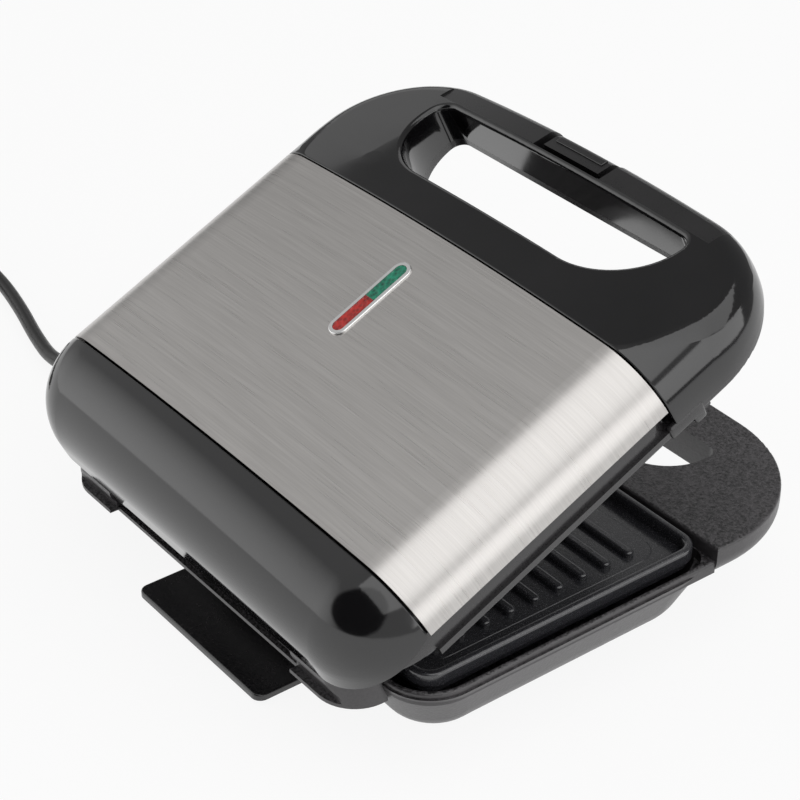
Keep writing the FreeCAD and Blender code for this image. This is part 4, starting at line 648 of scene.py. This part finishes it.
rings = []
for index in range(RING_COUNT):
    ring_x = RING_FIRST_X + index * RING_STEP
    along = (ring_x - GLAND_ROOT[0]) / (GLAND_TIP[0] - GLAND_ROOT[0])
    radius = GLAND_ROOT[1] + (GLAND_TIP[1] - GLAND_ROOT[1]) * along + RING_PROUD
    ring = start_piece(bpy.ops.mesh.primitive_cylinder_add, vertices=RING_SIDES, radius=radius,
                       depth=RING_WIDTH, location=(ring_x, GLAND_Y, GLAND_Z),
                       rotation=(0, math.pi / 2, 0))
    choose_faces(ring, lambda centre, normal: abs(normal.z) > 0.9)
    bpy.ops.mesh.inset(thickness=radius / 4)
    bpy.ops.object.mode_set(mode="OBJECT")
    round_edges(ring, RING_ROUND)
    rings.append(ring)
gland_rings = join_pieces(rings)
settle(gland_rings, "gland_rings", "base", cord_finish)

# %% [markdown]
# ## Screw recesses
# The screw heads under the object have cross recesses, dark with the shade inside them. Cutting
# them needs a boolean on every screw; a dark cross that lies flush in the head is painted shade
# instead. A small box whose four sides are extruded one by one makes it, and each screw gets a
# copy.

# %% Model the painted shade of the screw recesses
CROSS_CORE = 0.0009
CROSS_ARM = 0.0012
CROSS_DEPTH = 0.0003
CROSS_PROUD = 0.00004
PLATE_SCREWS = [(x, y, 0.0120) for x in (-0.0880, 0.0880) for y in (-0.0245, 0.0615)]
WRAP_SCREWS = [(x, 0.0430, 0.0024) for x in (-0.0170, 0.0170)]
HANDLE_SCREWS = [(x, -0.0557, 0.0485) for x in (-0.0640, 0.0640)]

cross = start_piece(bpy.ops.mesh.primitive_cube_add, size=1.0,
                    location=(0, 0, CROSS_DEPTH / 2 - CROSS_PROUD))
cross.scale = (CROSS_CORE, CROSS_CORE, CROSS_DEPTH)
apply_place()
choose_faces(cross, lambda centre, normal: abs(normal.z) < 0.5)
bpy.ops.mesh.extrude_faces_move(TRANSFORM_OT_shrink_fatten={"value": CROSS_ARM})
bpy.ops.object.mode_set(mode="OBJECT")
# The crosses' near-black finish is painted shade of the recesses, not a colour of the screws.
recess_black = rubber_finish("recess_black", (0.006, 0.006, 0.006), (0.012, 0.012, 0.012), 0.6)
base_crosses = join_pieces([copy_piece(cross, place) for place in PLATE_SCREWS + WRAP_SCREWS])
settle(base_crosses, "base_screw_recess_shade", "base", recess_black)
lid_crosses = join_pieces([copy_piece(cross, place) for place in HANDLE_SCREWS])
lid_crosses.matrix_world = LID_OPEN @ lid_crosses.matrix_world
settle(lid_crosses, "lid_screw_recess_shade", "lid", recess_black)
bpy.data.objects.remove(cross)

# %% [markdown]
# ## Floor
# The object stands on plain white, as in a catalogue. More light would bleach the object too, so
# the floor glows only for rays that come straight from the camera or by way of a mirror or glass.
# Its matt share still takes a soft shadow.

# %% Lay the floor
FLOOR_SIZE = 12.0
FLOOR_DROP = 0.0005
FLOOR_GLOW = 0.9
PAPER_WHITE = (0.9, 0.9, 0.9, 1.0)

floor = start_piece(bpy.ops.mesh.primitive_plane_add, size=FLOOR_SIZE,
                    location=(0, 0, -FLOOR_DROP))
floor.name = "white_floor"
paper = Network(bpy.data.materials.new("white_floor"))
seen_directly = paper.node("ShaderNodeLightPath", {}, {}, "Is Camera Ray")
for ray in ("Is Glossy Ray", "Is Transmission Ray"):
    other_ray = paper.node("ShaderNodeLightPath", {}, {}, ray)
    seen_directly = paper.sum_of("MAXIMUM", seen_directly, other_ray)
paper.node("ShaderNodeOutputMaterial", {}, {"Surface": paper.node("ShaderNodeMixShader", {}, {
    0: seen_directly * FLOOR_GLOW,
    1: paper.node("ShaderNodeBsdfDiffuse", {}, {"Color": PAPER_WHITE}),
    2: paper.node("ShaderNodeEmission", {}, {"Strength": 1.0}),
})})
floor.data.materials.append(paper.owner)
print("floor side", FLOOR_SIZE)

# %% [markdown]
# ## Studio
# A polished black object shows its surroundings, so they matter as much as the lamps. The room
# is grey, dimmer towards the front, with a bright end and a dark end, which give the pale sweep
# and the black patch on the back cover. Walls could be modelled for that, but a sky that depends
# on the direction is smoother and costs nothing.

# %% Paint the room
ROOM_LIGHT = 0.52
FRONT_LIGHT = 0.2
GLOW_LIGHT = 1.05
DARK_LIGHT = 0.04
FRONT_FADE = (-0.30, 0.05)
GLOW_FADE = (0.72, 1.0)
DARK_FADE = (0.82, 0.86)
BACK = Vector((0, 1, 0))
DARK_END = Vector((-0.25, 0.80, 0.50)).normalized()
BRIGHT_END = Vector((0.67, 0.68, 0.06)).normalized()

room = Network(bpy.data.worlds.new("studio"))
bpy.context.scene.world = room.owner
heading = room.node("ShaderNodeTexCoord", {}, {}, "Generated")


def toward(direction):
    """1 straight along a direction in the room, falling to 0 at right angles to it."""
    return room.node("ShaderNodeVectorMath", {"operation": "DOT_PRODUCT"}, {
        0: heading, 1: direction}, "Value")


front_wall = room.band(toward(BACK), *FRONT_FADE, FRONT_LIGHT, ROOM_LIGHT)
glow = room.band(toward(BRIGHT_END), *GLOW_FADE, 0.0, GLOW_LIGHT)
dimmed = room.band(toward(DARK_END), *DARK_FADE, 1.0, DARK_LIGHT)
walls = room.node("ShaderNodeBackground", {}, {
    "Color": (1, 1, 1, 1), "Strength": (front_wall + glow) * dimmed})
room.node("ShaderNodeOutputWorld", {}, {"Surface": walls})
print("room nodes:", len(room.tree.nodes))

# %% [markdown]
# ## Soft lights
# A broad soft light hangs overhead, one stands at the side and one in front. Their edges leave a
# thin dark gap between the first two, which draws the hairline on the steel's shoulder. Each is
# given by how bright it looks, not by its power, so that a bigger one only reaches further.

# %% Hang the soft lights
LIGHT_AIM = Vector((0, 0, 0.05))


def soft_light(name, place, width, height, radiance):
    """A rectangular lamp that faces the object, as bright as a white card times radiance."""
    data = bpy.data.lights.new(name, "AREA")
    data.shape = "RECTANGLE"
    data.size = width
    data.size_y = height
    data.energy = radiance * math.pi * width * height
    lamp = bpy.data.objects.new(name, data)
    lamp.location = place
    lamp.rotation_euler = (LIGHT_AIM - Vector(place)).to_track_quat("-Z", "Y").to_euler()
    bpy.context.scene.collection.objects.link(lamp)
    print(name, round(data.energy, 1), "W")


soft_light("overhead_softbox", (-0.62, 0.0, 1.5), width=2.4, height=1.9, radiance=1.0)
soft_light("right_softbox", (-1.55, -0.75, 0.60), width=2.3, height=0.8, radiance=1.45)
soft_light("front_softbox", (0.90, -0.75, 0.60), width=0.9, height=0.45, radiance=0.45)
